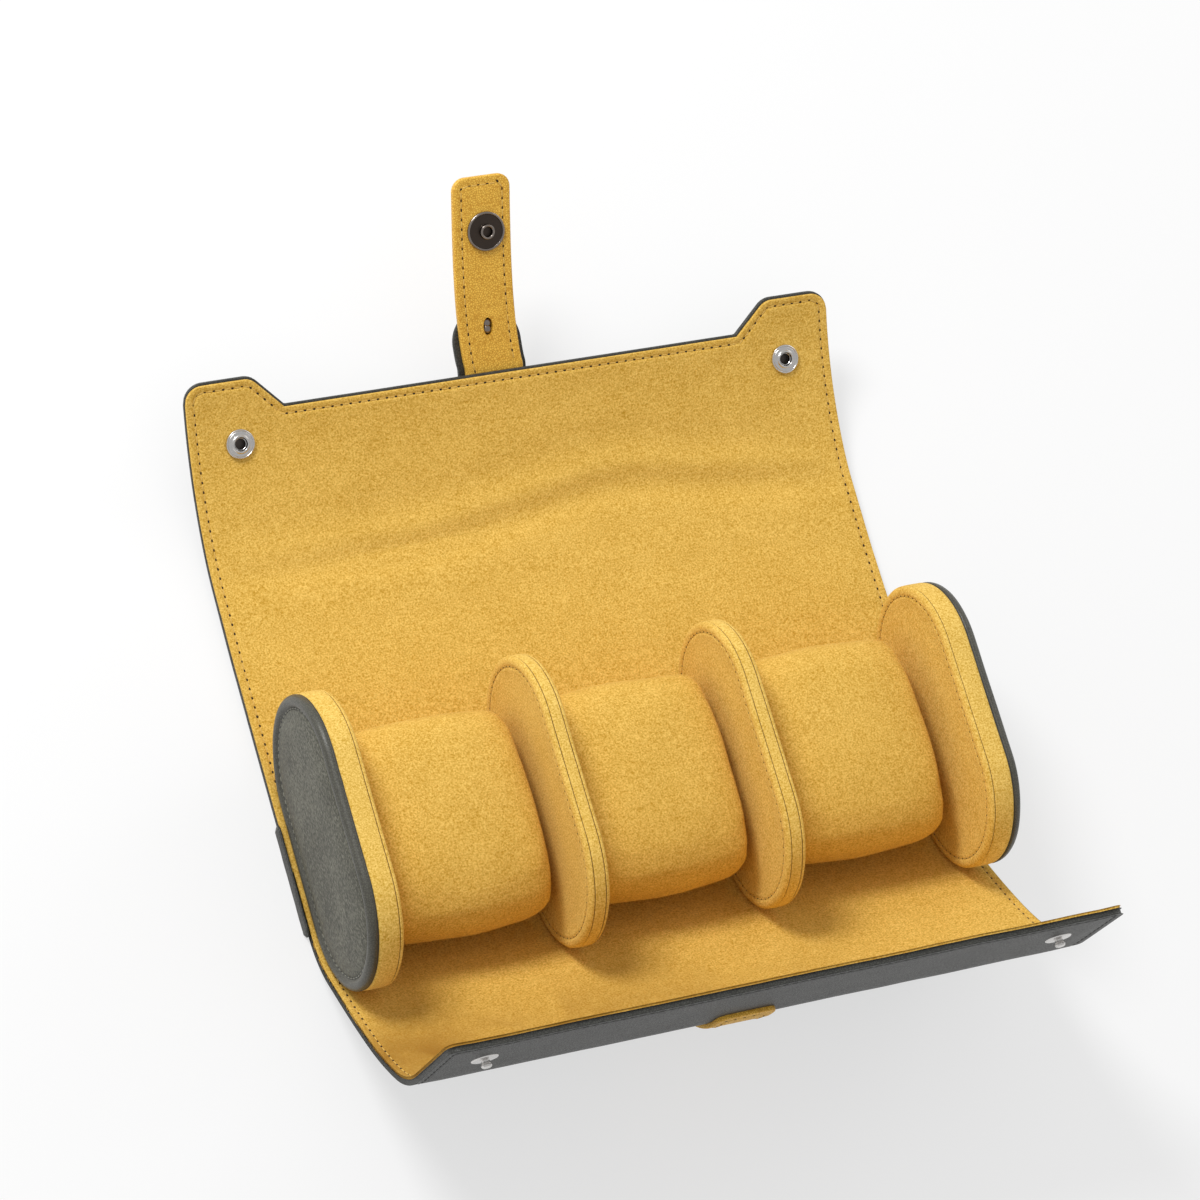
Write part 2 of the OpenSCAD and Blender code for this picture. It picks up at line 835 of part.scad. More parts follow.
snap_socket_caps();
strap_root();
tongue_root();
strap_1();
tongue_tip();
strap_rivet();
strap_2();
strap_3();
strap_snap();
strap_snap_cap();
tab_upper();
tab_lower();
tab_socket();
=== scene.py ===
import math
from contextlib import contextmanager

import bmesh
import bpy
import numpy as np
from mathutils import Matrix, Vector, noise


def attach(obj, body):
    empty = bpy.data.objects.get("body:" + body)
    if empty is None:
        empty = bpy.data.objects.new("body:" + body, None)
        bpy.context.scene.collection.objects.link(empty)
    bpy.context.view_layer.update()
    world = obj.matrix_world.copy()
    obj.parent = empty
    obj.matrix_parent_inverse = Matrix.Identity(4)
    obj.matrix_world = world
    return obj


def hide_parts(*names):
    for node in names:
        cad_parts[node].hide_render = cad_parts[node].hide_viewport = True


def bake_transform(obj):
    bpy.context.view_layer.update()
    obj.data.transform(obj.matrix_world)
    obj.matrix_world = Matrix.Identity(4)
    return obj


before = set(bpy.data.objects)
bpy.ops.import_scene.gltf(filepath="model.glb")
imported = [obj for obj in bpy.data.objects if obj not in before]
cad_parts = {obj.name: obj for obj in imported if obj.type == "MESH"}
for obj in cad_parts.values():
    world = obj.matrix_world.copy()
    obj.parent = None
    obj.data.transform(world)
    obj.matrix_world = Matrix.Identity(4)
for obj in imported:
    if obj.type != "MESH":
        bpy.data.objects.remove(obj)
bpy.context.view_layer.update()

MM = 0.001
CREASE_ANGLE = math.radians(50)

# Sizes in millimetres, the same as the frame's
WRAP_HALF = 105.3
HALF_T = 1.3
CORE_HALF = 18.75
CORE_R = 25.4
CORE_Z = 28.0
CORE_LEN = 202.0
RIM_W = 8.0
DIVIDER_W = 6.5
DIVIDERS = (-32.9, 29.5)
FRONT_RUNS = ((18.75, 0), (17, 36), (10, 0), (20.25, 4.5), (20.25, 12), (18, 36), (31.5, 0))
BACK_RUNS = ((18.75, 0), (8.25, 0), (14.75, 0), (15.75, 0), (16.25, 2.8), (15, 0), (11, 9.4), (50.5, 26))


def reach(runs, count):
    """Length along the wrap to the end of the first runs."""
    return sum(length for length, turn in runs[:count])


def cuts(folds, end, start=0.0):
    """Where a sheet is divided into pieces: midway between its folds."""
    return (start, *((a + b) / 2 for a, b in zip(folds, folds[1:])), end)


FRONT_FOLDS = tuple(reach(FRONT_RUNS, n) for n in range(3, 6))
BACK_FOLDS = tuple(reach(BACK_RUNS, n) for n in range(2, 7))
LIP_S = reach(FRONT_RUNS, 7)
EAR_S = reach(BACK_RUNS, 8)
EAR_DEPTH = 10.0
NOTCH_HALF = 74.0
EAR_HALF = 84.0
EAR_R = 6.0
LIP_R = 4.0
SNAP_X = 89.5
STUD_FROM_LIP = 17.0
SOCKET_FROM_EAR = 19.7
STRAP_X = -5.5
STRAP_W = 18.5
STRAP_T = 2.2
STRAP_GAP = 1.5
STRAP_FOLDS = (0.0, 18.0, 32.5)
STRAP_LEN = 57.8
STRAP_ROOT = 22.0
STRAP_BOW = 1.5
SNAP_FROM_TIP = 16.7
RIVET_Y = 12.2
SLOT_HALF = (1.55, 2.75)
TONGUE_HALF = 11.0
TONGUE_T = 1.6
TONGUE_REACH = 18.0
TAB_T = 1.6
PILLOW_LEN = 53.0
PILLOW_Y = 33.5
PILLOW_Z = 18.5
PILLOW_UP = 21.5
PILLOW_END_R = 4.0
PILLOW_BARREL = 1.6


# Paths
def moved(p, length, turn):
    y, z, a = p
    if turn == 0:
        return y + length * math.cos(a), z + length * math.sin(a), a
    t = math.radians(turn)
    r = length / t
    return y + r * (math.sin(a + t) - math.sin(a)), z - r * (math.cos(a + t) - math.cos(a)), a + t


def trace(runs, s):
    """Pose (y, z, heading) at the length s along the middle of the wrap, from the middle of its base."""
    p = (0.0, HALF_T, 0.0)
    for length, turn in runs:
        if s <= length:
            return moved(p, s, turn * s / length)
        p = moved(p, length, turn)
        s -= length
    return moved(p, s, 0)


def wrap_point(x, s, h):
    """Point of the wrap at x along the roll, s across it (front flap negative) and h towards the lining."""
    y, z, a = trace(FRONT_RUNS if s < 0 else BACK_RUNS, abs(s))
    y, z = y - h * math.sin(a), z + h * math.cos(a)
    return (x, -y if s < 0 else y, z)


def frame_at(x, y, z, a, h):
    """Matrix, in metres, at a place whose Y axis is turned up by a, moved on by h along its own Z."""
    m = Matrix.Translation(Vector((x, y, z)) * MM) @ Matrix.Rotation(a, 4, "X")
    return m @ Matrix.Translation((0, 0, h * MM))


def wrap_frame(x, s, h):
    """Matrix with Y along growing s and Z towards the lining, in metres."""
    y, z, a = trace(FRONT_RUNS if s < 0 else BACK_RUNS, abs(s))
    return frame_at(x, -y, z, -a, h) if s < 0 else frame_at(x, y, z, a, h)


MIDDLE_EDGE = trace(BACK_RUNS, EAR_S - EAR_DEPTH)
STRAP_OFF = -HALF_T - STRAP_T / 2


def strap_bow(s):
    """How far the soft strap bows to one side, between its rivet and its tip."""
    return -STRAP_BOW * math.sin(math.pi * min(1.0, max(0.0, s / STRAP_LEN)) ** 0.7)


def strap_point(x, s, h):
    """Point of the strap: s from its first fold, h towards the lining side."""
    if s < -STRAP_GAP:
        y, z, a = trace(BACK_RUNS, EAR_S - EAR_DEPTH + s + STRAP_GAP)
    else:
        y, z, a = moved(MIDDLE_EDGE, STRAP_GAP + s, 0)
    h = h + STRAP_OFF
    return (x + STRAP_X + strap_bow(s), y - h * math.sin(a), z + h * math.cos(a))


def strap_frame(x, s, h):
    return frame_at(x + STRAP_X, *moved(MIDDLE_EDGE, STRAP_GAP + s, 0), h + STRAP_OFF)


def soft(x, y, z=0.0, size=20.0, seed=0.0):
    """Smooth seeded noise between about -1 and 1 with features of the given size in millimetres."""
    return noise.noise(Vector((x / size + seed * 17.3, y / size - seed * 5.1, z / size + seed)))


# Meshes
def make(name, verts, faces, materials, face_mats=None, smooth=True, merge=0.0):
    mesh = bpy.data.meshes.new(name)
    mesh.from_pydata([tuple(c * MM for c in v) for v in verts], [], faces)
    for m in materials:
        mesh.materials.append(m)
    if face_mats is not None:
        mesh.polygons.foreach_set("material_index", face_mats)
    with opened(mesh) as bm:
        if merge:
            bmesh.ops.remove_doubles(bm, verts=bm.verts, dist=merge * MM)
        bmesh.ops.recalc_face_normals(bm, faces=bm.faces)
    mesh.polygons.foreach_set("use_smooth", [smooth] * len(mesh.polygons))
    obj = bpy.data.objects.new(name, mesh)
    bpy.context.scene.collection.objects.link(obj)
    mark_rest(obj)
    return obj


def mark_rest(obj):
    """Stores each point's place at rest for the materials, so that no pattern moves over a bent piece."""
    mesh = obj.data
    co = np.zeros(len(mesh.vertices) * 3, np.float32)
    mesh.vertices.foreach_get("co", co)
    m = np.array(obj.matrix_world, np.float32)
    co = co.reshape(-1, 3) @ m[:3, :3].T + m[:3, 3]
    a = mesh.attributes.get("rest") or mesh.attributes.new("rest", "FLOAT_VECTOR", "POINT")
    a.data.foreach_set("vector", co.ravel())


@contextmanager
def opened(mesh):
    """Opens a mesh for editing and writes it back."""
    bm = bmesh.new()
    bm.from_mesh(mesh)
    yield bm
    bm.to_mesh(mesh)
    bm.free()


def crease_angle(obj):
    """Leaves every edge sharper than CREASE_ANGLE as an edge."""
    with opened(obj.data) as bm:
        for e in bm.edges:
            if len(e.link_faces) == 2 and e.calc_face_angle(0) > CREASE_ANGLE:
                e.smooth = False


def wound(rows, n, closed=True):
    """Faces between rows of n points each; the ends of a row meet where it is closed."""
    return [(i * n + k, i * n + (k + 1) % n, (i + 1) * n + (k + 1) % n, (i + 1) * n + k)
            for i in range(rows - 1) for k in range(n if closed else n - 1)]


# Turns at which a rounded edge has its points
QUARTER = [math.radians(a) for a in (30, 60, 90)]


def slab(name, X, S, hi, lo, r, r_top, r_bot, point, material, open_start, open_end):
    """A sheet of leather or suede between the heights lo and hi over the grid X, S (rows along S).
    Its free edges stand r further out and are rounded; a side that is open runs on in the next piece."""
    rows, cols = X.shape
    top = np.arange(rows * cols).reshape(rows, cols)
    bottom = top + rows * cols
    verts = [point(x, s, level(x, s)) for level in (hi, lo) for x, s in zip(X.ravel(), S.ravel())]
    faces = [tuple(g.ravel()[k] for k in f) for g in (top, bottom) for f in wound(rows, cols, False)]
    left = [(i, 0) for i in range(rows)]
    right = [(i, cols - 1) for i in range(rows - 1, -1, -1)]
    end = [(rows - 1, j) for j in range(1, cols - 1)]
    start = [(0, j) for j in range(cols - 2, 0, -1)]
    if open_start and open_end:
        chains = [(left, False), (right, False)]
    elif open_start:
        chains = [(left + end + right, False)]
    elif open_end:
        chains = [(right + start + left, False)]
    else:
        chains = [(left + end + right + start, True)]
    for chain, closed in chains:
        n = len(chain)
        px = np.array([X[c] for c in chain])
        ps = np.array([S[c] for c in chain])
        if closed:
            dx, ds = np.roll(px, -1) - np.roll(px, 1), np.roll(ps, -1) - np.roll(ps, 1)
        else:
            dx, ds = np.gradient(px), np.gradient(ps)
        length = np.hypot(dx, ds)
        length[length == 0] = 1
        nx, ns = -ds / length, dx / length
        rings = [[top[c] for c in chain]]
        levels = [(hi, -r_top, a) for a in (QUARTER if r_top else QUARTER[-1:])]
        levels += [(lo, r_bot, a) for a in (QUARTER[::-1] if r_bot else QUARTER[-1:])]
        for level, rise, a in levels:
            out = r * math.sin(a)
            rings.append(range(len(verts), len(verts) + n))
            for x, s, dx, ds in zip(px, ps, nx, ns):
                verts.append(point(x + dx * out, s + ds * out, level(x, s) + rise * (1 - math.cos(a))))
        rings.append([bottom[c] for c in chain])
        flat = [v for ring in rings for v in ring]
        faces += [tuple(flat[v] for v in f) for f in wound(len(rings), n, closed)]
    return make(name, verts, faces, [material])


def stadium_ring(spacing=1.5):
    """Points round a stadium: the place of the centre along Y, and the outward direction (y, z)."""
    arc_n = max(8, int(math.pi * CORE_R / spacing))
    line_n = max(2, int(2 * CORE_HALF / spacing))
    out = []
    for s in (1.0, -1.0):
        out += [(s * CORE_HALF * (2 * k / line_n - 1), 0.0, s) for k in range(line_n)]
        turn = [s * math.pi / 2 - math.pi * k / arc_n for k in range(arc_n)]
        out += [(s * CORE_HALF, math.cos(a), math.sin(a)) for a in turn]
    return out


def sweep(name, profile, x0, sign, materials, wobble=0.0, seed=0.0, spacing=1.5, band=lambda i: 0):
    """A profile of (distance from the middle line, x) points swept round the stadium shape of the walls.
    The function band gives the material's place in the list for each stretch of the profile."""
    ring = stadium_ring(spacing)
    verts = []
    for rho, x in profile:
        for cy, ny, nz in ring:
            y, z = cy + rho * ny, CORE_Z + rho * nz
            d = wobble * soft(y, z, x * 2, 14, seed) if wobble else 0.0
            verts.append((x0 + sign * (x + d), y, z))
    mats = [band(i) for i in range(len(profile) - 1) for _ in ring]
    return make(name, verts, wound(len(profile), len(ring)), materials, face_mats=mats, merge=0.004)


def lathe(name, profile, matrix, materials, segments=64, dark=()):
    """A turned piece: profile of (radius, height) points about the local Z of matrix.
    Stretches whose middle lies in one of the ranges of radius in dark have the second material."""
    verts, mats = [], []
    for r, h in profile:
        for k in range(segments):
            a = 2 * math.pi * k / segments
            p = matrix @ Vector((r * math.cos(a) * MM, r * math.sin(a) * MM, h * MM))
            verts.append(tuple(c / MM for c in p))
    for (r1, _), (r2, _) in zip(profile, profile[1:]):
        mats += [int(any(a <= (r1 + r2) / 2 < b for a, b in dark))] * segments
    obj = make(name, verts, wound(len(profile), segments), materials, face_mats=mats, merge=0.003)
    crease_angle(obj)
    return obj


def rounded(points, r, steps=4):
    """Points of a profile with every inner corner cut round."""
    out = [points[0]]
    for a, b, c in zip(points, points[1:], points[2:]):
        a, b, c = Vector(a), Vector(b), Vector(c)
        d = min(r, (a - b).length * 0.45, (c - b).length * 0.45)
        p, q = b + (a - b).normalized() * d, b + (c - b).normalized() * d
        for k in range(steps + 1):
            t = k / steps
            out.append(tuple(p * (1 - t) ** 2 + b * 2 * t * (1 - t) + q * t * t))
    out.append(points[-1])
    return out


def capsule(sides=8, rings=5, bluntness=3.2):
    """Points and faces of a stitch of length and radius 1 along Y."""
    verts = []
    for i in range(rings + 1):
        t = -1 + 2 * i / rings
        w = math.sqrt(max(0.0, 1 - abs(t) ** bluntness))
        for k in range(sides):
            a = 2 * math.pi * k / sides
            verts.append((w * math.cos(a), t / 2, w * math.sin(a)))
    return np.array(verts), wound(rings + 1, sides)


THREAD = capsule()


def close_ends(obj):
    """Caps the open ends of a piece with faces of a second material, so that it can be cut as a solid."""
    with opened(obj.data) as bm:
        made = bmesh.ops.holes_fill(bm, edges=[e for e in bm.edges if e.is_boundary], sides=0)
        for f in made["faces"]:
            f.material_index = 1
        bmesh.ops.recalc_face_normals(bm, faces=bm.faces)


def open_ends(obj):
    """Takes the caps of close_ends out again."""
    with opened(obj.data) as bm:
        bmesh.ops.delete(bm, geom=[f for f in bm.faces if f.material_index == 1], context="FACES")


def cut(obj, *cutters):
    """Cuts the shapes of cutters out of a sheet, and removes them."""
    close_ends(obj)
    bpy.context.view_layer.objects.active = obj
    for cutter in cutters:
        m = obj.modifiers.new("cut", "BOOLEAN")
        m.object = cutter
        m.operation = "DIFFERENCE"
        m.solver = "EXACT"
        bpy.ops.object.modifier_apply(modifier=m.name)
        bpy.data.objects.remove(cutter)
    open_ends(obj)
    crease_angle(obj)
    mark_rest(obj)


def stitch_places(walk, point, level, off):
    """Centre, direction and normal of each stitch of a walk, off from the height level of a bent sheet."""
    out = []
    for x, s, dx, ds in walk:
        h = level(x, s)
        spots = ((x, s, h + off), (x + dx, s + ds, h + off), (x, s, h), (x, s, h + 1))
        c, ahead, low, high = (Vector(point(*spot)) for spot in spots)
        out.append((c, ahead - c, high - low))
    return out


def lengths(line):
    """Distance along a line of points, at each of them."""
    return np.concatenate([[0], np.cumsum(np.hypot(*np.diff(line, axis=0).T))])


def walk_along(line, distances):
    """Place and direction (x, s, dx, ds) at each of the distances along a line of points."""
    at = lengths(line)
    out = []
    for d in distances:
        (x, s), (x2, s2) = ([float(np.interp(v, at, line[:, i])) for i in (0, 1)]
                            for v in (d, (d + 0.4) % at[-1]))
        out.append((x, s, x2 - x, s2 - s))
    return out


def dress(obj, body, slot, *nodes):
    """Says which body a rigid piece rides on and hides the nodes that it replaces; slot is not used."""
    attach(obj, body)
    if nodes:
        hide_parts(*nodes)


def stitches(name, places, thread, hole, length, r, gap=0.62, hole_r=0.4, hole_len=1.2):
    """Stitches at places of (centre, direction, normal), in millimetres, with a dark mark at each start,
    painted shade of its hole.
    """
    verts, faces, mats = [], [], []
    base, quads = THREAD
    for c, d, n in places:
        c, d, n = Vector(c), Vector(d).normalized(), Vector(n).normalized()
        side = d.cross(n)
        parts = [(c, length - gap, r, 1.0, 0)]
        if hole is not None:
            parts.append((c - d * length / 2, hole_r * 2 * hole_len, hole_r, 0.3, 1))
        for centre, ln, rr, flat, mat in parts:
            first = len(verts)
            for v in base:
                verts.append(tuple(centre + side * v[0] * rr + d * v[1] * ln + n * v[2] * rr * flat))
            faces.extend(tuple(first + k for k in f) for f in quads)
            mats.extend([mat] * len(quads))
    materials = [thread] if hole is None else [thread, hole]
    return make(name, verts, faces, materials, face_mats=mats)


# Materials
class Graph:
    """A new material and its nodes."""

    def __init__(self, name):
        self.material = bpy.data.materials.new(name)
        self.material.use_nodes = True
        self.nodes, self.links = self.material.node_tree.nodes, self.material.node_tree.links
        self.bsdf = self.nodes["Principled BSDF"]
        self.place = self.add("Attribute", "Vector", {}, attribute_name="rest")

    def put(self, socket, value):
        """Links a socket to an output, or writes a plain value on it."""
        if hasattr(value, "is_linked"):
            self.links.new(value, socket)
        elif socket.type == "RGBA" and len(value) == 3:
            socket.default_value = (*value, 1)
        else:
            socket.default_value = value

    def add(self, kind, output, inputs, **settings):
        """Adds a node, fills its inputs and gives one of its outputs."""
        node = self.nodes.new("ShaderNode" + kind)
        for name, value in settings.items():
            setattr(node, name, value)
        for name, value in inputs.items():
            self.put(node.inputs[name], value)
        return node.outputs[output]

    def noise(self, scale, detail=2.0, rough=0.5, distortion=0.0, place=None):
        place = self.place if place is None else place
        return self.add("TexNoise", "Fac", {"Scale": scale, "Detail": detail, "Roughness": rough,
                                            "Distortion": distortion, "Vector": place})

    def remap(self, value, a, b, c, d):
        return self.add("MapRange", "Result", {"Value": value, "From Min": a, "From Max": b,
                                               "To Min": c, "To Max": d})

    def math(self, operation, *values):
        return self.add("Math", "Value", dict(enumerate(values)), operation=operation)

    def mix(self, fac, a, b):
        return self.add("Mix", "Result", {"Factor": fac, "A": a, "B": b}, data_type="RGBA")

    def weighted(self, *parts):
        """Sum of the (value, weight) parts."""
        total = 0.0
        for value, weight in parts:
            total = self.math("MULTIPLY_ADD", value, weight, total)
        return total

    def surface(self, **values):
        for name, value in values.items():
            self.put(self.bsdf.inputs[name.replace("_", " ")], value)

    def bump(self, height, strength, distance):
        self.surface(Normal=self.add("Bump", "Normal", {"Strength": strength, "Distance": distance,
                                                        "Height": height}))


# Colour of the shade painted on the front flap, and where on the flap it is, in metres
FRONT_FLAP_SHADE_COLOUR = (0.33, 0.155, 0.018)
FRONT_FLAP_SHADE_SPAN = (("X", 0.085, -0.095), ("Y", -0.044, -0.068))


def front_flap_shade(g):
    """How much painted shade the front flap gets: cloudy patches that fade out to the right and to the core.
    """
    clouds = g.remap(g.noise(30, 3, 0.6, 0.8), 0.40, 0.62, 1.0, 0.55)
    for axis, a, b in FRONT_FLAP_SHADE_SPAN:
        along = g.remap(g.add("SeparateXYZ", axis, {"Vector": g.place}), a, b, 0, 1)
        clouds = g.math("MULTIPLY", clouds, along)
    return clouds


def suede(name, dark, light, nap=1.0):
    """Short even nap: fine grain, with only a trace of wider tone."""
    g = Graph(name)
    wide, patches, grain = g.noise(70), g.noise(420, 2, 0.6), g.noise(1800, 2, 0.7)
    tone = g.weighted((wide, 0.08), (patches, 0.12), (grain, 0.80))
    colour = g.mix(g.remap(tone, 0.35, 0.65, 0, 1), dark, light)
    # the front flap's painted shade is mixed into the colour
    g.surface(Base_Color=g.mix(front_flap_shade(g), colour, FRONT_FLAP_SHADE_COLOUR), Roughness=0.95, Specular_IOR_Level=0.1,
              Sheen_Weight=0.12, Sheen_Roughness=0.5, Sheen_Tint=(1.0, 0.85, 0.5))
    g.bump(g.weighted((patches, 0.35), (grain, 0.65)), 0.75 * nap, 0.0004)
    return g.material


def leather(name, dark, light, scale, rough, height, directional=None, coat=0.0, contrast=1.0):
    """Grained leather: raised cells with pores between them, stretched where the grain has a direction."""
    g = Graph(name)
    where, cell_share = g.place, 0.5
    if directional is not None:
        where, cell_share = g.add("Mapping", "Vector", {"Vector": g.place, "Scale": directional}), 0.15
    edges = g.add("TexVoronoi", "Distance", {"Scale": scale, "Vector": where}, feature="DISTANCE_TO_EDGE")
    grain, pores = g.remap(edges, 0.0, 0.2, 0.0, 1.0), g.noise(scale * 1.7, 3, 0.65, place=where)
    relief = g.weighted((grain, cell_share), (pores, 1 - cell_share))
    shade = g.weighted((relief, 0.8), (g.noise(90), 0.2))
    spread = 0.28 / contrast
    g.surface(Base_Color=g.mix(g.remap(shade, 0.6 - spread, 0.6 + spread, 0, 1), dark, light),
              Roughness=g.remap(relief, 0.2, 0.9, rough + 0.12, rough - 0.06),
              Specular_IOR_Level=0.42, Coat_Weight=coat, Coat_Roughness=0.25)
    g.bump(relief, 0.6, height)
    return g.material


def metal(name, colour, rough):
    g = Graph(name)
    wear = g.noise(900.0, 3, 0.6)
    g.surface(Metallic=1.0, Base_Color=g.mix(wear, tuple(c * 0.8 for c in colour), colour),
              Roughness=g.remap(wear, 0.3, 0.7, rough, rough + 0.12))
    return g.material


def plain(name, dark, light, scale, rough):
    g = Graph(name)
    grain = g.noise(scale, 3, 0.6)
    g.surface(Base_Color=g.mix(grain, dark, light), Roughness=rough)
    g.bump(grain, 0.4, 0.0001)
    return g.material


SUEDE = suede("mustard_suede", (0.51, 0.275, 0.026), (0.90, 0.59, 0.145))
# lighter copy of the lining's suede for the walls and dividers: painted light
LIT_RIM = suede("mustard_rim_painted_light", (0.57, 0.325, 0.035), (0.95, 0.66, 0.185), 0.7)
OUTER = leather("dark_grained_leather", (0.020, 0.020, 0.017), (0.070, 0.070, 0.061), 1300, 0.44, 0.00010)
PANEL = leather("olive_leather", (0.052, 0.050, 0.036), (0.248, 0.241, 0.183), 1500, 0.52, 0.00024,
                (1.0, 0.4, 1.0), 0.0, 1.8)
WELT = leather("olive_welt", (0.045, 0.043, 0.033), (0.100, 0.097, 0.075), 1500, 0.42, 0.00009, coat=0.12)
STRAP = leather("mustard_leather", (0.565, 0.278, 0.020), (0.99, 0.625, 0.094), 1500, 0.5, 0.00011,
                contrast=1.2)
EDGE = plain("edge_paint", (0.02, 0.02, 0.017), (0.05, 0.05, 0.044), 600, 0.55)
THREAD_Y = plain("mustard_thread", (0.50, 0.29, 0.05), (0.85, 0.58, 0.15), 3000, 0.7)
THREAD_D = plain("dark_thread", (0.02, 0.02, 0.018), (0.06, 0.06, 0.055), 3000, 0.7)
THREAD_G = plain("grey_thread", (0.11, 0.107, 0.085), (0.32, 0.31, 0.25), 3000, 0.5)
# dark marks at the stitches' holes: painted shade
STITCH_HOLE_SHADE = plain("stitch_hole_painted_shade", (0.018, 0.008, 0.002), (0.05, 0.024, 0.006), 900, 0.95)
SEAM = plain("seam_shadow", (0.06, 0.026, 0.006), (0.20, 0.09, 0.018), 900, 0.95)
NICKEL = metal("bright_nickel", (0.72, 0.70, 0.68), 0.2)
# dark metal inside the sockets' holes: painted shade
WELL_SHADE = metal("well_painted_shade", (0.10, 0.085, 0.075), 0.35)
GUN = metal("gunmetal", (0.30, 0.26, 0.23), 0.22)
# dark gunmetal of the snap's disc, and painted shade inside the snaps' holes
GUN_DARK_AND_HOLE_SHADE = metal("dark_gunmetal_and_hole_shade", (0.075, 0.058, 0.048), 0.3)


# Wrap
def corner_end(u, half, r):
    """How far an end edge falls back at distance u from the middle, for rounded corners of radius r."""
    d = abs(u) - (half - r)
    return 0.0 if d <= 0 else r - math.sqrt(max(0.0, r * r - d * d))


SLANT_EASE = math.sqrt(2) - 1


def ear_line(x, inset, side_inset=None):
    """Length from the base's middle to the back flap's edge at x, drawn in by inset.
    The middle edge meets the slant in a sharp corner, and the slant rounds off into the ear's top."""
    side_inset = inset if side_inset is None else side_inset
    u = abs(x)
    r = EAR_R - inset
    top = EAR_HALF + EAR_R * SLANT_EASE
    back = top - u
    if back <= 0:
        drop = 0.0
    elif back < r * math.sqrt(0.5):
        drop = r - math.sqrt(r * r - back * back)
    else:
        drop = EAR_HALF - u + inset * SLANT_EASE
    out = EAR_S - inset - min(EAR_DEPTH, drop)
    return out - corner_end(u, WRAP_HALF - side_inset, max(1.0, EAR_R - inset))


def lip_line(x, inset, side_inset=None):
    side_inset = inset if side_inset is None else side_inset
    return LIP_S - inset - corner_end(abs(x), WRAP_HALF - side_inset, max(1.0, LIP_R - inset))


# Distances from a free edge at which a grid has its first columns and rows
SIDE_NEAR = (0.0, 0.35, 0.8, 1.3, 1.7, 2.0, 2.25, 2.5, 2.75, 3.05, 3.5, 4.2, 5.2, 6.6)
END_ZONE = 16.0
END_NEAR = SIDE_NEAR + (8.2, 10.0, 12.0, 14.0, END_ZONE)


def columns(half):
    """Places along the roll of a grid's columns: closer at its sides and at the slants of the ears."""
    mid = [round(float(v), 3) for v in np.linspace(-half + 8.4, half - 8.4, 116)]
    slant = (-1.4, -0.5, 0.4, 1.3, 3.0, 5.0, 7.0, 8.2, 9.0, 9.8, 10.6, 11.4, 12.2, 13.2)
    close = [NOTCH_HALF + v for v in slant] + [half - d for d in SIDE_NEAR]
    return np.array(sorted(set(mid + close + [-v for v in close])))


def steps(a, b, step):
    """Rows from a to b, each further on by what step says there."""
    out = [a]
    while out[-1] < b - 1e-6:
        out.append(min(b, out[-1] + step(out[-1])))
    return out


def off_fold(s, folds):
    return min(abs(s - f) for f in folds)


def wrap_rows(a, b, folds):
    return steps(a, b, lambda s: 0.9 if off_fold(s + 0.8, folds) < 6.5 else 1.8)


CUTS = {-1: cuts(FRONT_FOLDS, LIP_S), 1: cuts(BACK_FOLDS, EAR_S)}
FOLDS = {-1: FRONT_FOLDS, 1: BACK_FOLDS}
SIDE_NAME = {-1: "front", 1: "back"}


def wrap_grid(side, k, inset, end_inset):
    """Grid of (x, s) over the k-th stretch between two cuts, drawn in at its sides and its end."""
    a, b = CUTS[side][k], CUTS[side][k + 1]
    u = columns(WRAP_HALF - inset)
    if b < CUTS[side][-1]:
        X, S = np.meshgrid(u, wrap_rows(a, b, FOLDS[side]))
        return X, S * side
    line = ear_line if side > 0 else lip_line
    stop = (EAR_S - EAR_DEPTH if side > 0 else LIP_S) - END_ZONE
    ends = np.array([line(x, end_inset, inset) for x in u])
    grid = [np.full(len(u), r) for r in wrap_rows(a, stop, FOLDS[side])]
    for d in END_NEAR[-2::-1]:
        # the last rows keep their distance from the edge, and spread out over the rest of an ear
        share = d / END_ZONE
        far = stop + (ends - stop) * (1 - share)
        grid.append((ends - d) * (1 - share ** 2) + far * share ** 2)
    return np.tile(u, (len(grid), 1)), np.array(grid) * side


def outline(inset):
    """Closed outline of the whole wrap, drawn in by inset, as (x, s) points about 0.5 mm apart."""
    half = WRAP_HALF - inset
    u = np.linspace(-half, half, 900)
    back = [(x, ear_line(x, inset)) for x in u]
    front = [(x, -lip_line(x, inset)) for x in u]
    pts = [(-half, s) for s in np.linspace(front[0][1], back[0][1], 500)]
    pts += back
    pts += [(half, s) for s in np.linspace(back[-1][1], front[-1][1], 500)]
    pts += front[::-1]
    return np.array(pts)


EDGE_LINE = outline(0.0)
STITCH_IN = 2.75


def edge_distance(x, s):
    return float(np.min(np.hypot(EDGE_LINE[:, 0] - x, EDGE_LINE[:, 1] - s)))


def flap_weight(s):
    """0 over the base and near the core, 1 out on the flaps."""
    a = abs(s)
    return min(1.0, max(0.0, (a - 48.0) / 14.0))


def crease_at(x):
    """Line of the soft buckle across the back flap, and how strong it is there."""
    s = CREASE_S + 9.0 * math.exp(-((x - 28.0) / 42.0) ** 2) + 1.6 * soft(x, 3.0, 0, 40, 2.0)
    strength = 0.30 + 0.70 * max(0.0, min(1.0, (x + 95) / 50.0)) * max(0.0, min(1.0, (100 - x) / 25.0))
    return s, strength


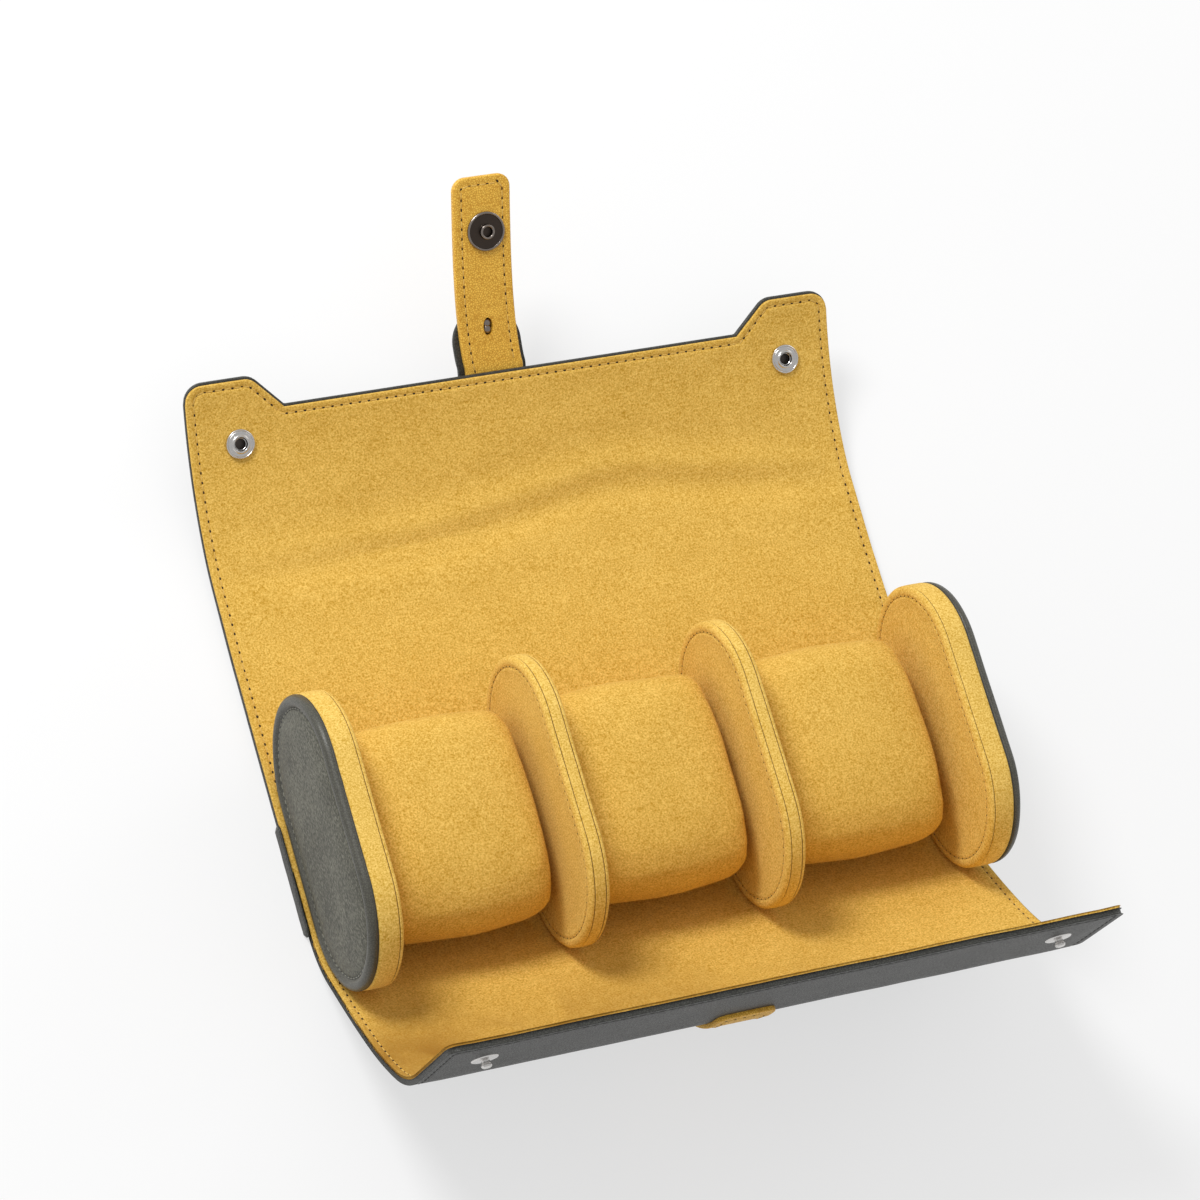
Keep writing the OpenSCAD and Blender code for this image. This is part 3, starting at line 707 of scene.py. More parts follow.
def sag(x, s):
    """How far the whole sheet stands off its even path: mostly outwards, but never into the table."""
    w = flap_weight(s)
    if w == 0:
        return 0.0
    rim = min(1.0, max(0.0, (WRAP_HALF - abs(x) - 1.0) / 8.0))
    h = -0.22 + 0.20 * soft(x, s, 0, 26, 1.0) + 0.06 * soft(x, s, 0, 9, 3.0)
    if s > 0:
        line, strength = crease_at(x)
        d = s - line
        h += strength * (0.36 * math.exp(-(d / 3.0) ** 2) - 1.25 * math.exp(-((d + 7.0) / 4.8) ** 2)
                         - 0.60 * math.exp(-((d - 8.0) / 6.0) ** 2))
    lift = trace(FRONT_RUNS if s < 0 else BACK_RUNS, abs(s))[1] - HALF_T
    return max(h * w * rim, TABLE_GAP - lift)


def groove(x, s, depth, width):
    """Depth of the row of stitches, which pulls the sheet in along its free edges."""
    near = WRAP_HALF - abs(x)
    d = near if abs(s) < END_FROM else edge_distance(x, s)
    return depth * math.exp(-((d - STITCH_IN) / width) ** 2)


def lining_top(x, s):
    return HALF_T - 0.03 + sag(x, s) - groove(x, s, 0.32, 0.5)


def outer_low(x, s):
    return -HALF_T + 0.02 + sag(x, s) + groove(x, s, 0.22, 0.5)


def split(x, s):
    return LAYER_SPLIT + sag(x, s)


CREASE_S = 97.0
TABLE_GAP = 0.1
END_FROM = 118.0
LAYER_SPLIT = 0.42


def blend_at(obj, side, k):
    """Bakes a piece's transform into its points; the pose of its fold is looked up but not used."""
    f = FOLDS[side][k]
    y, z, t = trace(FRONT_RUNS if side < 0 else BACK_RUNS, f)
    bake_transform(obj)


def stitch_walk(inset, pitch):
    """Places of the stitches along the wrap's edge, and the distance between them."""
    line = outline(inset)
    line = np.vstack([line, line[:1]])
    total = lengths(line)[-1]
    count = int(round(total / pitch))
    return walk_along(line, [(k + 0.5) * total / count for k in range(count)]), total / count


WALK, PITCH = stitch_walk(STITCH_IN, 2.9)
REPLACED = {
    ("lining", -1): (("base_lining",), ("front_lining_1",), ("front_lining_2", "front_lining_3")),
    ("leather", -1): (("base_leather", "base_board"), ("front_leather_1",),
                      ("front_leather_2", "front_leather_3", "front_board_3")),
    ("lining", 1): [("back_lining_%d" % k,) for k in range(1, 6)],
    ("leather", 1): [("back_leather_%d" % k,) for k in range(1, 5)] + [("back_leather_5", "back_board_5")],
}


def wrap_stitches(side, k):
    a, b = CUTS[side][k], CUTS[side][k + 1]
    last = k == len(CUTS[side]) - 2
    walk = [w for w in WALK if a <= side * w[1] and (last or side * w[1] < b)]
    for kind, level, off, thread, hole, r, slot in (
            ("lining", lining_top, 0.02, THREAD_Y, STITCH_HOLE_SHADE, 0.2, "suede"),
            ("leather", outer_low, -0.02, THREAD_D, None, 0.24, "outer_leather")):
        places = stitch_places(walk, wrap_point, level, off)
        made = stitches("%s_stitches_%s_%d" % (kind, SIDE_NAME[side], k + 1), places, thread, hole, PITCH, r)
        blend_at(made, side, k)


SOCKET_BARREL = 2.3
SOCKET_FLOOR = -0.3


def socket_holes():
    """Shapes of the two holes that the sockets' barrels need in the ears, down to their floor."""
    profile = [(0, SOCKET_FLOOR), (SOCKET_BARREL, SOCKET_FLOOR), (SOCKET_BARREL, 3), (0, 3)]
    return [lathe("hole_cutter", profile, wrap_frame(x, EAR_S - SOCKET_FROM_EAR, 0), [SUEDE], 40)
            for x in (-SNAP_X, SNAP_X)]


for side in (-1, 1):
    for k in range(len(CUTS[side]) - 1):
        last = k == len(CUTS[side]) - 2
        tag = SIDE_NAME[side] + "_" + str(k + 1)
        lining = slab("lining_" + tag, *wrap_grid(side, k, 0.60, 1.05), lining_top, split,
                      0.35, 0.3, 0.0, wrap_point, SUEDE, True, not last)
        under = slab("leather_" + tag, *wrap_grid(side, k, 0.55, 0.55), split, outer_low,
                     0.55, 0.25, 0.6, wrap_point, OUTER, True, not last)
        for o, kind, slot in ((lining, "lining", "suede"), (under, "leather", "outer_leather")):
            if last and side > 0:
                cut(o, *socket_holes())
            blend_at(o, side, k)
            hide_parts(*REPLACED[(kind, side)][k])
        wrap_stitches(side, k)


# Walls
WALL_R = CORE_R - 0.12

# Half of a suede wall's profile, as distances in from its rim and from its face: recessed face, row of
# stitches, puffed ring, round shoulder, seam and rim
FACE = ((WALL_R, 0.55), (9, 0.55), (5.6, 0.48), (4.2, 0.26), (3.4, 0.16), (3.05, 0.42), (2.75, 0.14),
        (2.1, 0.02), (1.6, 0.03), (0.95, 0.2), (0.45, 0.52), (0.12, 0.98), (0.06, 1.34), (0.36, 1.45),
        (0.42, 1.5), (0.36, 1.55), (0.06, 1.68), (0, 2.1))


def face_profile(outer):
    return [(WALL_R - rho, outer - v) for rho, v in FACE] + [(WALL_R + 0.03, 0.0)]


def divider(k, x):
    half = DIVIDER_W / 2
    one = face_profile(half)
    two = [(rho, -v) for rho, v in reversed(one[:-1])]
    obj = sweep("divider_%d" % k, one + two, x, 1, [LIT_RIM], 0.10, 3.0 + k)
    dress(obj, "core", "suede", "divider_cover_%d" % k)
    for sign in (-1, 1):
        seam_line("divider_%d_seam_%s" % (k, "ab"[sign > 0]), x + sign * (half - FACE_SEAM_IN))
    places = [p for sign in (-1, 1) for p in face_places(x, sign, half - 0.2)]
    face_stitches("divider_%d_stitches" % k, places)


FACE_PITCH = 2.6
FACE_STITCH_R = CORE_R - 3.17
FACE_SEAM_IN = 1.5
FACE_SEAM_R = CORE_R - 0.42


def face_places(x, sign, out, rho=FACE_STITCH_R, pitch=FACE_PITCH):
    """Places of a row of stitches round a wall's face."""
    ring = stadium_ring(0.5)
    pts = [Vector((x + sign * out, cy + rho * ny, CORE_Z + rho * nz)) for cy, ny, nz in ring]
    ds = [(pts[(k + 1) % len(pts)] - pts[k]).length for k in range(len(pts))]
    total = sum(ds)
    count = int(round(total / pitch))
    places, d, k = [], 0.0, 0
    for q in range(count):
        target = q * total / count
        while d + ds[k] < target:
            d += ds[k]
            k += 1
        a, b = pts[k], pts[(k + 1) % len(pts)]
        places.append((a + (b - a) * ((target - d) / max(1e-6, ds[k])), b - a, (sign, 0, 0)))
    return places


def face_stitches(name, places):
    made = stitches(name, places, THREAD_Y, STITCH_HOLE_SHADE, FACE_PITCH, 0.16, hole_r=0.2)
    dress(made, "core", "suede")


def seam_line(name, x, rho=FACE_SEAM_R, r=0.13, material=SEAM, slot="suede"):
    """A dark line of shadow and thread in the groove of a seam round a wall."""
    ring = stadium_ring(1.2)
    n = len(ring)
    sides = 6
    verts = []
    for cy, ny, nz in ring:
        w = r * (1 + 0.25 * soft(cy + rho * ny, rho * nz, x, 2.0, 5))
        for k in range(sides):
            a = 2 * math.pi * k / sides
            rr = rho + w * math.cos(a)
            verts.append((x + w * math.sin(a), cy + rr * ny, CORE_Z + rr * nz))
    faces = [tuple(v % (n * sides) for v in f) for f in wound(n + 1, sides)]
    dress(make(name, verts, faces, [material]), "core", slot)


for k, x in enumerate(DIVIDERS, 1):
    divider(k, x)


PANEL_R = CORE_R - 0.25
CHANNEL_R = PANEL_R - 3.9
PANEL_PITCH = 2.3


def panel_profile():
    """Padded leather panel, from its middle: soft crown, stitched channel, rolled welt and flat back."""
    e = PANEL_R
    crown = [((e - 4.4) * t, 1.9 + 1.25 * math.cos(math.pi / 2 * t ** 2.4)) for t in np.linspace(0, 1, 16)]
    channel = ((4.2, 1.66), (PANEL_R - CHANNEL_R, 1.5), (3.6, 1.62), (3.3, 2.05))
    welt = ((2.8, 2.5), (2.0, 2.74), (1.3, 2.66), (0.7, 2.34), (0.25, 1.8), (0.02, 1.2), (-0.05, 0.7),
            (0.05, 0.25), (0.3, 0.03), (3, 0.0), (e, 0.0))
    return crown + [(e - rho, v) for rho, v in channel + welt], len(crown + list(channel)) - 2


def end_wall(side, sign):
    mid = CORE_LEN / 2 - RIM_W / 2
    outer = CORE_LEN / 2
    half = RIM_W / 2
    r = WALL_R
    inner_half = [(rho, -v) for rho, v in face_profile(half)[:-1]]
    outer_half = [(r + 0.03, 0.0), (r, half - 1.2), (r - 0.1, half - 0.6), (r - 0.35, half - 0.2),
                  (r - 0.8, half), (r - 3, half), (0, half)]
    obj = sweep(side + "_wall", inner_half + outer_half, sign * mid, sign, [LIT_RIM], 0.08, 8.0 + sign)
    dress(obj, "core", "suede", side + "_wall_cover")
    face_stitches(side + "_wall_stitches", face_places(sign * mid, -sign, half - 0.2))
    seam_line(side + "_wall_seam", sign * (mid - half + FACE_SEAM_IN))

    profile, welt_from = panel_profile()
    panel = sweep(side + "_end_panel", profile, sign * outer, sign, [PANEL, WELT], 0.10, 12.0 + sign,
                  band=lambda i: 1 if i >= welt_from else 0)
    dress(panel, "core", "panel_leather", side + "_panel", side + "_pad")
    places = face_places(sign * outer, sign, 1.66, CHANNEL_R, PANEL_PITCH)
    # dark marks of edge paint at the stitches' starts are painted shade of their holes
    made = stitches(side + "_panel_stitches", places, THREAD_G, EDGE, PANEL_PITCH, 0.26, hole_r=0.5)
    dress(made, "core", "panel_leather")
    seam_line(side + "_panel_seam", sign * (outer + 0.05), CORE_R - 0.5, 0.2, EDGE, "panel_leather")


end_wall("left", -1)
end_wall("right", 1)


def side_strip(side, sign):
    """Leather strip folded over the end of the base, as a rounded bar with a turned edge."""
    half, y0, h = 17.0, -2.5, 4.0
    verts = []
    section = rounded([(0.0, 0.05), (0.85, 0.05), (0.85, h), (0.0, h), (0.0, 0.05)], 0.35, 3)
    n = len(section)
    stations = np.linspace(-half, half, 30)
    for y in stations:
        shrink = 1 - 0.5 * max(0.0, (abs(y) - half + 0.6) / 0.6) ** 2
        for a, b in section:
            d = 0.08 * soft(y, b, 0, 6, 9 + sign)
            x = WRAP_HALF + a * shrink + d * (a > 0.4)
            verts.append((sign * x, y0 + y, h / 2 + (b - h / 2) * shrink))
    faces = wound(len(stations), n)
    for row in (0, len(stations) - 1):
        faces.append(tuple(row * n + k for k in range(n)))
    return make(side + "_side_strip", verts, faces, [OUTER], merge=0.003)


dress(side_strip("left", -1), "core", "outer_leather", "side_strips")
dress(side_strip("right", 1), "core", "outer_leather")


# Pillows
def pillow_radius(u):
    """How far the section draws in at distance u from the pillow's middle, in millimetres."""
    rim = max(0.0, abs(u) - (PILLOW_LEN / 2 - PILLOW_END_R)) / PILLOW_END_R
    barrel = PILLOW_BARREL * (2 * u / PILLOW_LEN) ** 2
    return barrel + PILLOW_END_R * (1 - math.sqrt(max(0.0, 1 - rim * rim)))


def pillow_mesh(name, x0, shrink):
    """A pillow before it swells: its section is a rounded oblong with a flat foot."""
    rings, pts = 34, 80
    verts = []
    for i in range(rings):
        u = -PILLOW_LEN / 2 * math.cos(math.pi * i / (rings - 1))
        d = pillow_radius(u)
        for k in range(pts):
            a = 2 * math.pi * k / pts
            c, s = math.cos(a), math.sin(a)
            y = (PILLOW_Y - d - shrink) * math.copysign(abs(c) ** (2 / 2.8), c)
            z = (PILLOW_Z - d - shrink) * math.copysign(abs(s) ** (2 / 2.8), s)
            verts.append((x0 + u * (1 - shrink / 26), y, PILLOW_UP + max(z, 0.4 - PILLOW_Z)))
    faces = wound(rings, pts)
    faces += [tuple(range(pts)), tuple(range((rings - 1) * pts, rings * pts))]
    return make(name, verts, faces, [SUEDE])


def inflate(obj, cap):
    """Lets a pillow's cover swell as cloth, with its end seams held, and applies the result."""
    bpy.context.view_layer.objects.active = obj
    for o in bpy.context.selected_objects:
        o.select_set(False)
    obj.select_set(True)
    m = obj.modifiers.new("remesh", "REMESH")
    m.mode = "VOXEL"
    m.voxel_size = 0.0036
    bpy.ops.object.modifier_apply(modifier=m.name)
    before = np.array([v.co for v in obj.data.vertices])
    mid = before.mean(0)
    held = obj.vertex_groups.new(name="held")
    for v, c in zip(obj.data.vertices, before):
        u = abs(c[0] - mid[0]) / MM
        if u > PILLOW_LEN / 2 - 3.2 or c[2] < 4.2 * MM:
            held.add([v.index], 0.85, "REPLACE")
    cloth = obj.modifiers.new("cloth", "CLOTH")
    cs = cloth.settings
    cs.use_pressure = True
    cs.uniform_pressure_force = 4.0
    cs.quality = 6
    cs.tension_stiffness = 12
    cs.compression_stiffness = 12
    cs.bending_stiffness = 0.4
    cs.vertex_group_mass = "held"
    cs.effector_weights.gravity = 0.0
    scene = bpy.context.scene
    for f in range(1, 21):
        scene.frame_set(f)
    dg = bpy.context.evaluated_depsgraph_get()
    result = np.array([v.co for v in obj.evaluated_get(dg).data.vertices])
    obj.modifiers.remove(cloth)
    scene.frame_set(1)
    move = result - before
    size = np.linalg.norm(move, axis=1)
    size[size == 0] = 1
    move *= np.minimum(1, cap * MM / size)[:, None]
    obj.data.vertices.foreach_set("co", (before + move).ravel())
    obj.vertex_groups.clear()


def settle(obj, x0, seed):
    """Smooths a pillow, gives it the slight unevenness of soft stuffing, and keeps it in its own space."""
    m = obj.modifiers.new("smooth", "SUBSURF")
    m.levels = 1
    bpy.context.view_layer.objects.active = obj
    bpy.ops.object.modifier_apply(modifier=m.name)
    for v in obj.data.vertices:
        x, y, z = (c / MM for c in v.co)
        d = 0.35 * soft(x, y, z, 16, seed) + 0.10 * soft(x, y, z, 5, seed + 1)
        n = v.normal
        x, y, z = x + n.x * d, y + n.y * d, z + n.z * d
        u = x - x0
        half = PILLOW_LEN / 2 - 0.05
        u = max(-half, min(half, u))
        lim_z = PILLOW_Z - 0.05
        z = PILLOW_UP + max(0.35 - PILLOW_Z, min(lim_z, z - PILLOW_UP))
        y = max(-PILLOW_Y - 0.2, min(PILLOW_Y + 0.2, y))
        v.co = Vector((x0 + u, y, z)) * MM
    obj.data.polygons.foreach_set("use_smooth", [True] * len(obj.data.polygons))
    mark_rest(obj)


wall_in = CORE_LEN / 2 - RIM_W
BAYS = ((DIVIDERS[0] - DIVIDER_W / 2 - wall_in) / 2, sum(DIVIDERS) / 2,
        (DIVIDERS[1] + DIVIDER_W / 2 + wall_in) / 2)
for k, x in enumerate(BAYS, 1):
    pillow = pillow_mesh("pillow_%d" % k, x, 0.9)
    inflate(pillow, 2.4)
    settle(pillow, x, 20.0 + k)
    dress(pillow, "pillow_%d" % k, "suede", "pillow_cover_%d" % k)


# Strap, tongue and tab
def strap_rows(a, b, folds, tip_r=0.0):
    """Rows of a narrow band: closer at its folds, at the strap's wrinkles and at a round tip."""
    def step(s):
        tip = tip_r and b - s < tip_r + 2.2
        return 0.7 if tip or 5.0 < s < 24.0 or off_fold(s + 0.4, folds) < 4.5 else 1.2

    out = steps(a, b, step)
    if tip_r:
        out = [v for v in out if v < b - 0.5] + [b - 0.42, b - 0.2, b - 0.06, b]
    return out


def band_grid(rows, width_at):
    us = np.array([-1, -0.96, -0.9, -0.83, -0.77, -0.73, -0.7, -0.67, -0.62, -0.54, -0.42, -0.28, -0.14])
    us = np.concatenate([us, [0], -us[::-1]])
    return np.array([us * width_at(s) for s in rows]), np.array([[s] * len(us) for s in rows])


def strap_half(s, inset=0.45, r=4.0, length=STRAP_LEN):
    w = STRAP_W / 2 - inset
    d = s - (length - inset - (r - inset))
    if d <= 0:
        return w
    q = r - inset
    return w - q + math.sqrt(max(0.0, q * q - d * d))


def strap_top(x, s):
    h = STRAP_T / 2 - 0.02
    d = STRAP_W / 2 - abs(x)
    d = min(d, STRAP_LEN - s)
    h -= 0.22 * math.exp(-((d - 2.6) / 0.45) ** 2)
    h -= 0.10 * max(0.0, 1 - d / 1.3) ** 2
    h += 0.05 * soft(x, s, 0, 9, 31)
    near = math.exp(-((s - 14.0) / 7.0) ** 2)
    h -= 0.07 * near * max(0.0, math.sin(s * 1.9 + 1.6 * soft(x, s, 0, 7, 33)))
    return h


def strap_under(x, s):
    d = min(STRAP_W / 2 - abs(x), STRAP_LEN - s)
    return -STRAP_T / 2 + 0.02 + 0.2 * math.exp(-((d - 2.6) / 0.45) ** 2)


def fold_blend(obj, k):
    f = STRAP_FOLDS[k]
    a, b = (Vector(strap_point(-STRAP_X, f + q, 0)) for q in (-1.4, 1.4))
    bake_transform(obj)


STRAP_CUTS = cuts(STRAP_FOLDS, STRAP_LEN, -STRAP_ROOT)
STRAP_NODES = (("strap_root", "strap_1"), ("strap_2",), ("strap_3",))
STRAP_PITCH = 2.9
STRAP_STITCH_IN = 2.6


def strap_walk(inset=STRAP_STITCH_IN, r=2.2, start=-1.0):
    """Stitch places up one side of the strap, across its tip and down the other."""
    w, top = STRAP_W / 2 - inset, STRAP_LEN - inset
    turn = np.linspace(0, math.pi / 2, 14)
    pts = [(-w, s) for s in np.arange(start, top - r, 0.25)]
    pts += [(-w + r - r * math.cos(a), top - r + r * math.sin(a)) for a in turn]
    pts += [(x, top) for x in np.arange(-w + r, w - r, 0.25)]
    pts += [(w - r + r * math.sin(a), top - r + r * math.cos(a)) for a in turn]
    pts += [(w, s) for s in np.arange(top - r, start, -0.25)]
    line = np.array(pts)
    return walk_along(line, np.arange(STRAP_PITCH / 2, lengths(line)[-1] - 0.5, STRAP_PITCH))


def cut_slot(obj):
    """Cuts the oval slot through the strap, at its rivet."""
    n = 32
    turn = [2 * math.pi * k / n for k in range(n)]
    ring = [(SLOT_HALF[0] * math.cos(a), SLOT_HALF[1] * math.sin(a)) for a in turn]
    shift = strap_bow(RIVET_Y)
    verts = []
    for h in (-2.0, 2.0):
        verts += [strap_point(x + shift - strap_bow(RIVET_Y + y), RIVET_Y + y, h) for x, y in ring]
    faces = wound(2, n) + [tuple(range(n)), tuple(range(n, 2 * n))]
    cut(obj, make("slot_cutter", verts, faces, [STRAP], smooth=False))


def strap_stitches(name, places):
    return stitches(name, places, THREAD_Y, STITCH_HOLE_SHADE, STRAP_PITCH, 0.2, hole_r=0.32, hole_len=1.7)


SWALK = strap_walk()
for k in range(3):
    a, b = STRAP_CUTS[k], STRAP_CUTS[k + 1]
    tip = k == 2
    rows = strap_rows(a, b - (0.45 if tip else 0), STRAP_FOLDS, 4.0 if tip else 0.0)
    piece = slab("strap_part_%d" % (k + 1), *band_grid(rows, strap_half), strap_top, strap_under,
                 0.45, 0.5, 0.5, strap_point, STRAP, k > 0, not tip)
    if k == 1:
        cut_slot(piece)
    fold_blend(piece, k)
    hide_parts(*STRAP_NODES[k])
    places = stitch_places([w for w in SWALK if a <= w[1] < b], strap_point, strap_top, 0.01)
    made = strap_stitches("strap_stitches_%d" % (k + 1), places)
    fold_blend(made, k)


def tongue_half(s):
    straight = TONGUE_REACH - TONGUE_HALF
    w = TONGUE_HALF - 0.4
    d = s - straight
    return w if d <= 0 else math.sqrt(max(0.02, w * w - d * d))


TONGUE_MID = -STRAP_T / 2 - TONGUE_T / 2


def flat_levels(thickness):
    """Heights of the two faces of a plain band."""
    return lambda x, s: thickness / 2 - 0.02, lambda x, s: 0.02 - thickness / 2


def tongue_point(x, s, h):
    return strap_point(x, s, h + TONGUE_MID)


rows = strap_rows(-STRAP_ROOT, TONGUE_REACH - 0.45, (0.0,), 6.0)
tongue = slab("tongue", *band_grid(rows, tongue_half), *flat_levels(TONGUE_T), 0.4, 0.35, 0.45,
              tongue_point, OUTER, False, False)
fold_blend(tongue, 0)
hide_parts("tongue_root", "tongue_tip")

# Tab on the front flap's outer face
TAB_A, TAB_B = FRONT_FOLDS[1] + 0.75, reach(FRONT_RUNS, 6) + 4.5
TAB_MID = -HALF_T - TAB_T / 2


def tab_point(x, s, h):
    return wrap_point(x + STRAP_X, -s, h + TAB_MID)


def tab_half(s):
    w, r = STRAP_W / 2 - 0.45, 3.0
    out = w
    for d in (s - (TAB_B - 0.45 - r), (TAB_A + 0.45 + r) - s):
        if d > 0:
            out = min(out, w - r + math.sqrt(max(0.0, r * r - d * d)))
    return out


near = (0, 0.1, 0.3, 0.7, 1.2, 1.8, 2.5)
rows = [TAB_A + 0.45 + v for v in near]
rows += list(np.arange(rows[-1] + 1.0, TAB_B - 4.0, 1.0))
rows += [TAB_B - 0.45 - v for v in near[::-1]]
tab = slab("tab", *band_grid(rows, tab_half), *flat_levels(TAB_T), 0.45, 0.3, 0.5,
           tab_point, STRAP, False, False)
blend_at(tab, -1, 2)
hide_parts("tab_upper", "tab_lower")
side_x, end_s = STRAP_W / 2 - STRAP_STITCH_IN, TAB_B - STRAP_STITCH_IN
walk = [(sign * side_x, s, 0, 0.4) for sign in (-1, 1)
        for s in np.arange(TAB_A + STRAP_STITCH_IN, TAB_B - 2.0, STRAP_PITCH)]
walk += [(x, end_s, 1, 0) for x in np.arange(-STRAP_W / 2 + 4.2, STRAP_W / 2 - 4, STRAP_PITCH)]
made = strap_stitches("tab_stitches", stitch_places(walk, tab_point, lambda x, s: -TAB_T / 2, 0.02))
blend_at(made, -1, 2)


# Press studs and snaps
def add_metal(name, profile, matrix, materials, body, slot, nodes=(), dark=()):
    dress(lathe(name, profile, matrix, materials, dark=dark), body, slot, *nodes)


SOCKET_WELL = 1.98
WELL_FLOOR = SOCKET_FLOOR - HALF_T + 0.08
SOCKET = rounded([(0, WELL_FLOOR), (SOCKET_WELL, WELL_FLOOR), (SOCKET_WELL, 0.95), (2.15, 1.22), (2.6, 1.22),
                  (2.85, 0.92), (3.75, 0.86), (3.9, 0.66), (4.1, 0.86), (4.4, 0.72), (4.5, 0.45), (4.5, 0.0),
                  (2.25, 0.0), (2.25, WELL_FLOOR - 0.06), (0, WELL_FLOOR - 0.06)], 0.1, 3)
SPRING = rounded([(1.66, 0.45), (1.81, 0.6), (1.96, 0.45), (1.81, 0.3), (1.66, 0.45)], 0.1, 3)
CAP = rounded([(0, 0), (5.0, 0), (5.0, 0.35), (4.5, 0.75), (2.5, 0.9), (0, 0.95)], 0.25, 3)
STUD = rounded([(0, 0), (4.0, 0), (4.0, 0.3), (3.7, 0.5), (1.9, 0.55), (1.25, 0.75), (1.2, 1.5), (1.6, 2.05),
                (1.45, 2.6), (1.0, 2.88), (0, 2.9)], 0.12, 3)
BACK_CAP = rounded([(0, 0), (3.6, 0), (3.6, 0.2), (3.2, 0.48), (0, 0.5)], 0.12, 3)
TURN = Matrix.Rotation(math.pi, 4, "X")
# the sockets' holes take the second, dark metal: painted shade, as the shallow holes would stay bright
BRIGHT = [NICKEL, WELL_SHADE]
for tag, x in (("left", -SNAP_X), ("right", SNAP_X)):
    ear_s, lip_s = EAR_S - SOCKET_FROM_EAR, STUD_FROM_LIP - LIP_S
    base = wrap_frame(x, ear_s, HALF_T)
    for name, profile, matrix, body, nodes, dark in (
            ("socket", SOCKET, base, "back_ears", ["snap_sockets"], ((0, SOCKET_WELL + 0.01),)),
            ("socket_spring", SPRING, base, "back_ears", [], ()),
            ("socket_cap", CAP, wrap_frame(x, ear_s, -HALF_T) @ TURN, "back_ears", ["snap_socket_caps"], ()),
            ("stud", STUD, wrap_frame(x, lip_s, -HALF_T) @ TURN, "front_lip", ["snap_studs"], ()),
            ("stud_back", BACK_CAP, wrap_frame(x, lip_s, HALF_T), "front_lip", ["snap_stud_backs"], ())):
        nodes = nodes if tag == "left" else ()
        add_metal(name + "_" + tag, profile, matrix, BRIGHT, body, "nickel", nodes, dark)

# The strap's snap: flat dark disc, bright rolled rim, raised tube with a deep hole, whose inside is painted
# shade in the dark metal
DARK = [GUN, GUN_DARK_AND_HOLE_SHADE]
STRAP_SNAP = rounded([(0, 0.3), (1.55, 0.3), (1.55, 2.0), (1.75, 2.15), (2.15, 2.12), (2.3, 1.9),
                      (2.3, 0.62), (5.2, 0.56), (5.35, 0.86), (5.75, 0.9), (6.0, 0.68), (6.0, 0.1),
                      (5.9, -0.02), (0, -0.02)], 0.1, 3)
SNAP_CAP = rounded([(0, 0), (6.0, 0), (6.0, 0.3), (5.4, 0.72), (3.0, 0.88), (0, 0.92)], 0.25, 3)
snap_s = STRAP_LEN - SNAP_FROM_TIP
add_metal("strap_snap_ring", STRAP_SNAP, strap_frame(0, snap_s, STRAP_T / 2), DARK, "strap_end", "gunmetal",
          ("strap_snap",), ((0, 1.6), (2.25, 5.25)))
add_metal("strap_snap_button", SNAP_CAP, strap_frame(0, snap_s, -STRAP_T / 2) @ TURN, DARK, "strap_end",
          "gunmetal", ("strap_snap_cap",))

# The rivet shows in the slot as two bright lobes
RIVET = rounded([(0, 1.85), (0.7, 1.8), (1.2, 1.5), (1.3, 1.0), (1.3, -0.2), (0, -0.2)], 0.2, 4)
LOBE = 0.95
RIVET_CAP = rounded([(0, 0), (2.6, 0), (2.6, 0.25), (2.1, 0.6), (0, 0.7)], 0.15, 3)
for tag, dy, nodes in (("rivet", -LOBE, ("strap_rivet",)), ("rivet_tail", LOBE, ())):
    spot = strap_frame(strap_bow(RIVET_Y), RIVET_Y + dy, -STRAP_T / 2)
    add_metal(tag, RIVET, spot, DARK, "strap_near", "nickel", nodes)
add_metal("rivet_cap", RIVET_CAP, strap_frame(0, RIVET_Y, -STRAP_T / 2 - TONGUE_T) @ TURN, BRIGHT,
          "strap_near", "nickel")

# the tab's socket: a ring round a flat dark middle, painted shade where its hole is
TAB_SOCKET = rounded([(0, 0.1), (2.4, 0.1), (2.4, 0.9), (2.75, 1.18), (3.9, 1.18), (4.4, 1.0), (5.0, 0.7),
                      (5.0, 0.05), (4.9, 0), (0, 0)], 0.1, 3)
tab_s = -(FRONT_FOLDS[1] + 6.6)
add_metal("tab_ring", TAB_SOCKET, wrap_frame(STRAP_X, tab_s, -HALF_T - TAB_T) @ TURN, DARK, "front_middle",
          "gunmetal", ("tab_socket",), ((0, 2.41),))

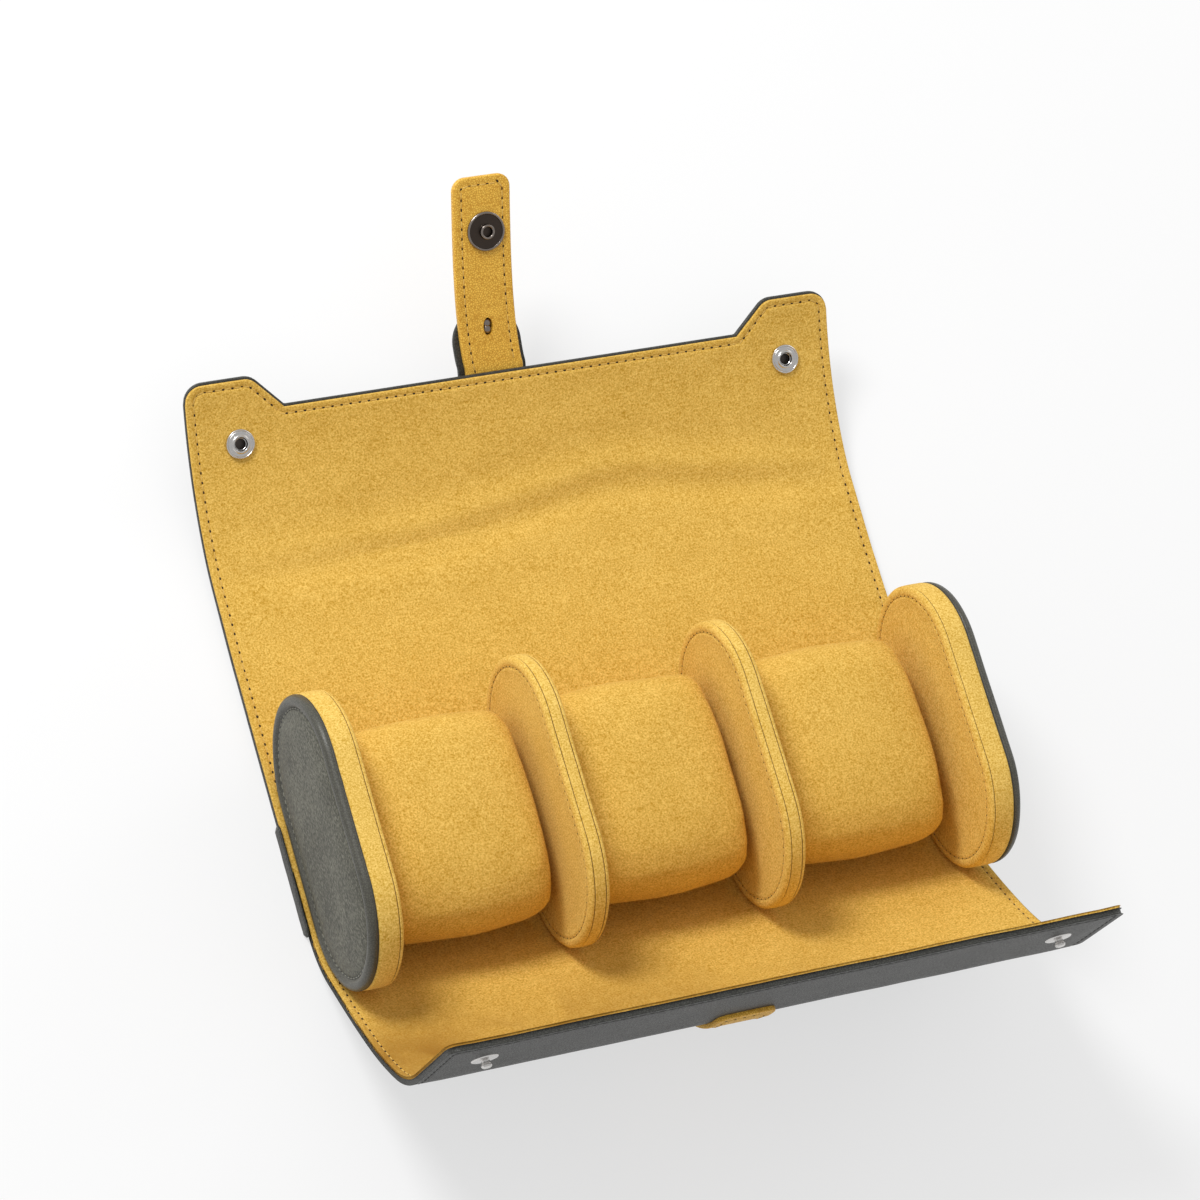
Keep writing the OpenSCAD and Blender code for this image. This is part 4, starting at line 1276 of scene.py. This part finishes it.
# Floor, light and camera
bpy.ops.mesh.primitive_plane_add(size=12, location=(0, 0, -0.0002))
floor = bpy.context.object
floor.name = "floor"


def floor_material():
    g = Graph("pale_floor")
    g.surface(Base_Color=g.mix(g.noise(3), (0.86, 0.86, 0.86), (0.88, 0.88, 0.88)), Roughness=0.9,
              Specular_IOR_Level=0.1)
    # seen from the camera or in metal, the floor is nearer to white, and its shadows are paler
    rays = [g.add("LightPath", "Is %s Ray" % kind, {}) for kind in ("Camera", "Glossy")]
    share = g.remap(g.math("MAXIMUM", *rays), 0, 1, 0, 0.6)
    glow = g.add("Emission", "Emission", {})
    both = g.add("MixShader", "Shader", {"Fac": share, 1: g.bsdf.outputs["BSDF"], 2: glow})
    g.put(g.nodes["Material Output"].inputs["Surface"], both)
    return g.material


floor.data.materials.append(floor_material())
mark_rest(floor)

world = bpy.data.worlds.new("studio")
bpy.context.scene.world = world
world.use_nodes = True
background = world.node_tree.nodes["Background"].inputs
background["Color"].default_value = (1, 1, 1, 1)
background["Strength"].default_value = 0.58


def area(name, spot, target, size, power):
    light = bpy.data.lights.new(name, "AREA")
    light.shape = "DISK"
    light.size = size
    light.energy = power
    obj = bpy.data.objects.new(name, light)
    obj.location = spot
    obj.rotation_euler = (Vector(target) - Vector(spot)).to_track_quat("-Z", "Y").to_euler()
    bpy.context.scene.collection.objects.link(obj)


area("key", (-0.58, 0.80, 1.0), (0, 0.03, 0.03), 0.5, 12.8)
area("side", (1.1, 0.5, 0.6), (0, 0.03, 0.03), 0.6, 1.8)

camera = bpy.data.cameras.new("camera")
camera.sensor_width = 36
camera.lens = 150
camera.clip_end = 20
right = Vector((0.91071127, -0.27741725, 0.30601416))
up = Vector((0.15867214, 0.919004, 0.36090831))
back = Vector((-0.38135042, -0.28012734, 0.88096568))
rows = Matrix((right, up, back)).transposed().to_4x4()
rows.translation = Vector((-0.5623, -0.3568, 1.3301))
cam = bpy.data.objects.new("camera", camera)
cam.matrix_world = rows
bpy.context.scene.collection.objects.link(cam)
bpy.context.scene.camera = cam
bpy.context.scene.view_settings.view_transform = "Standard"
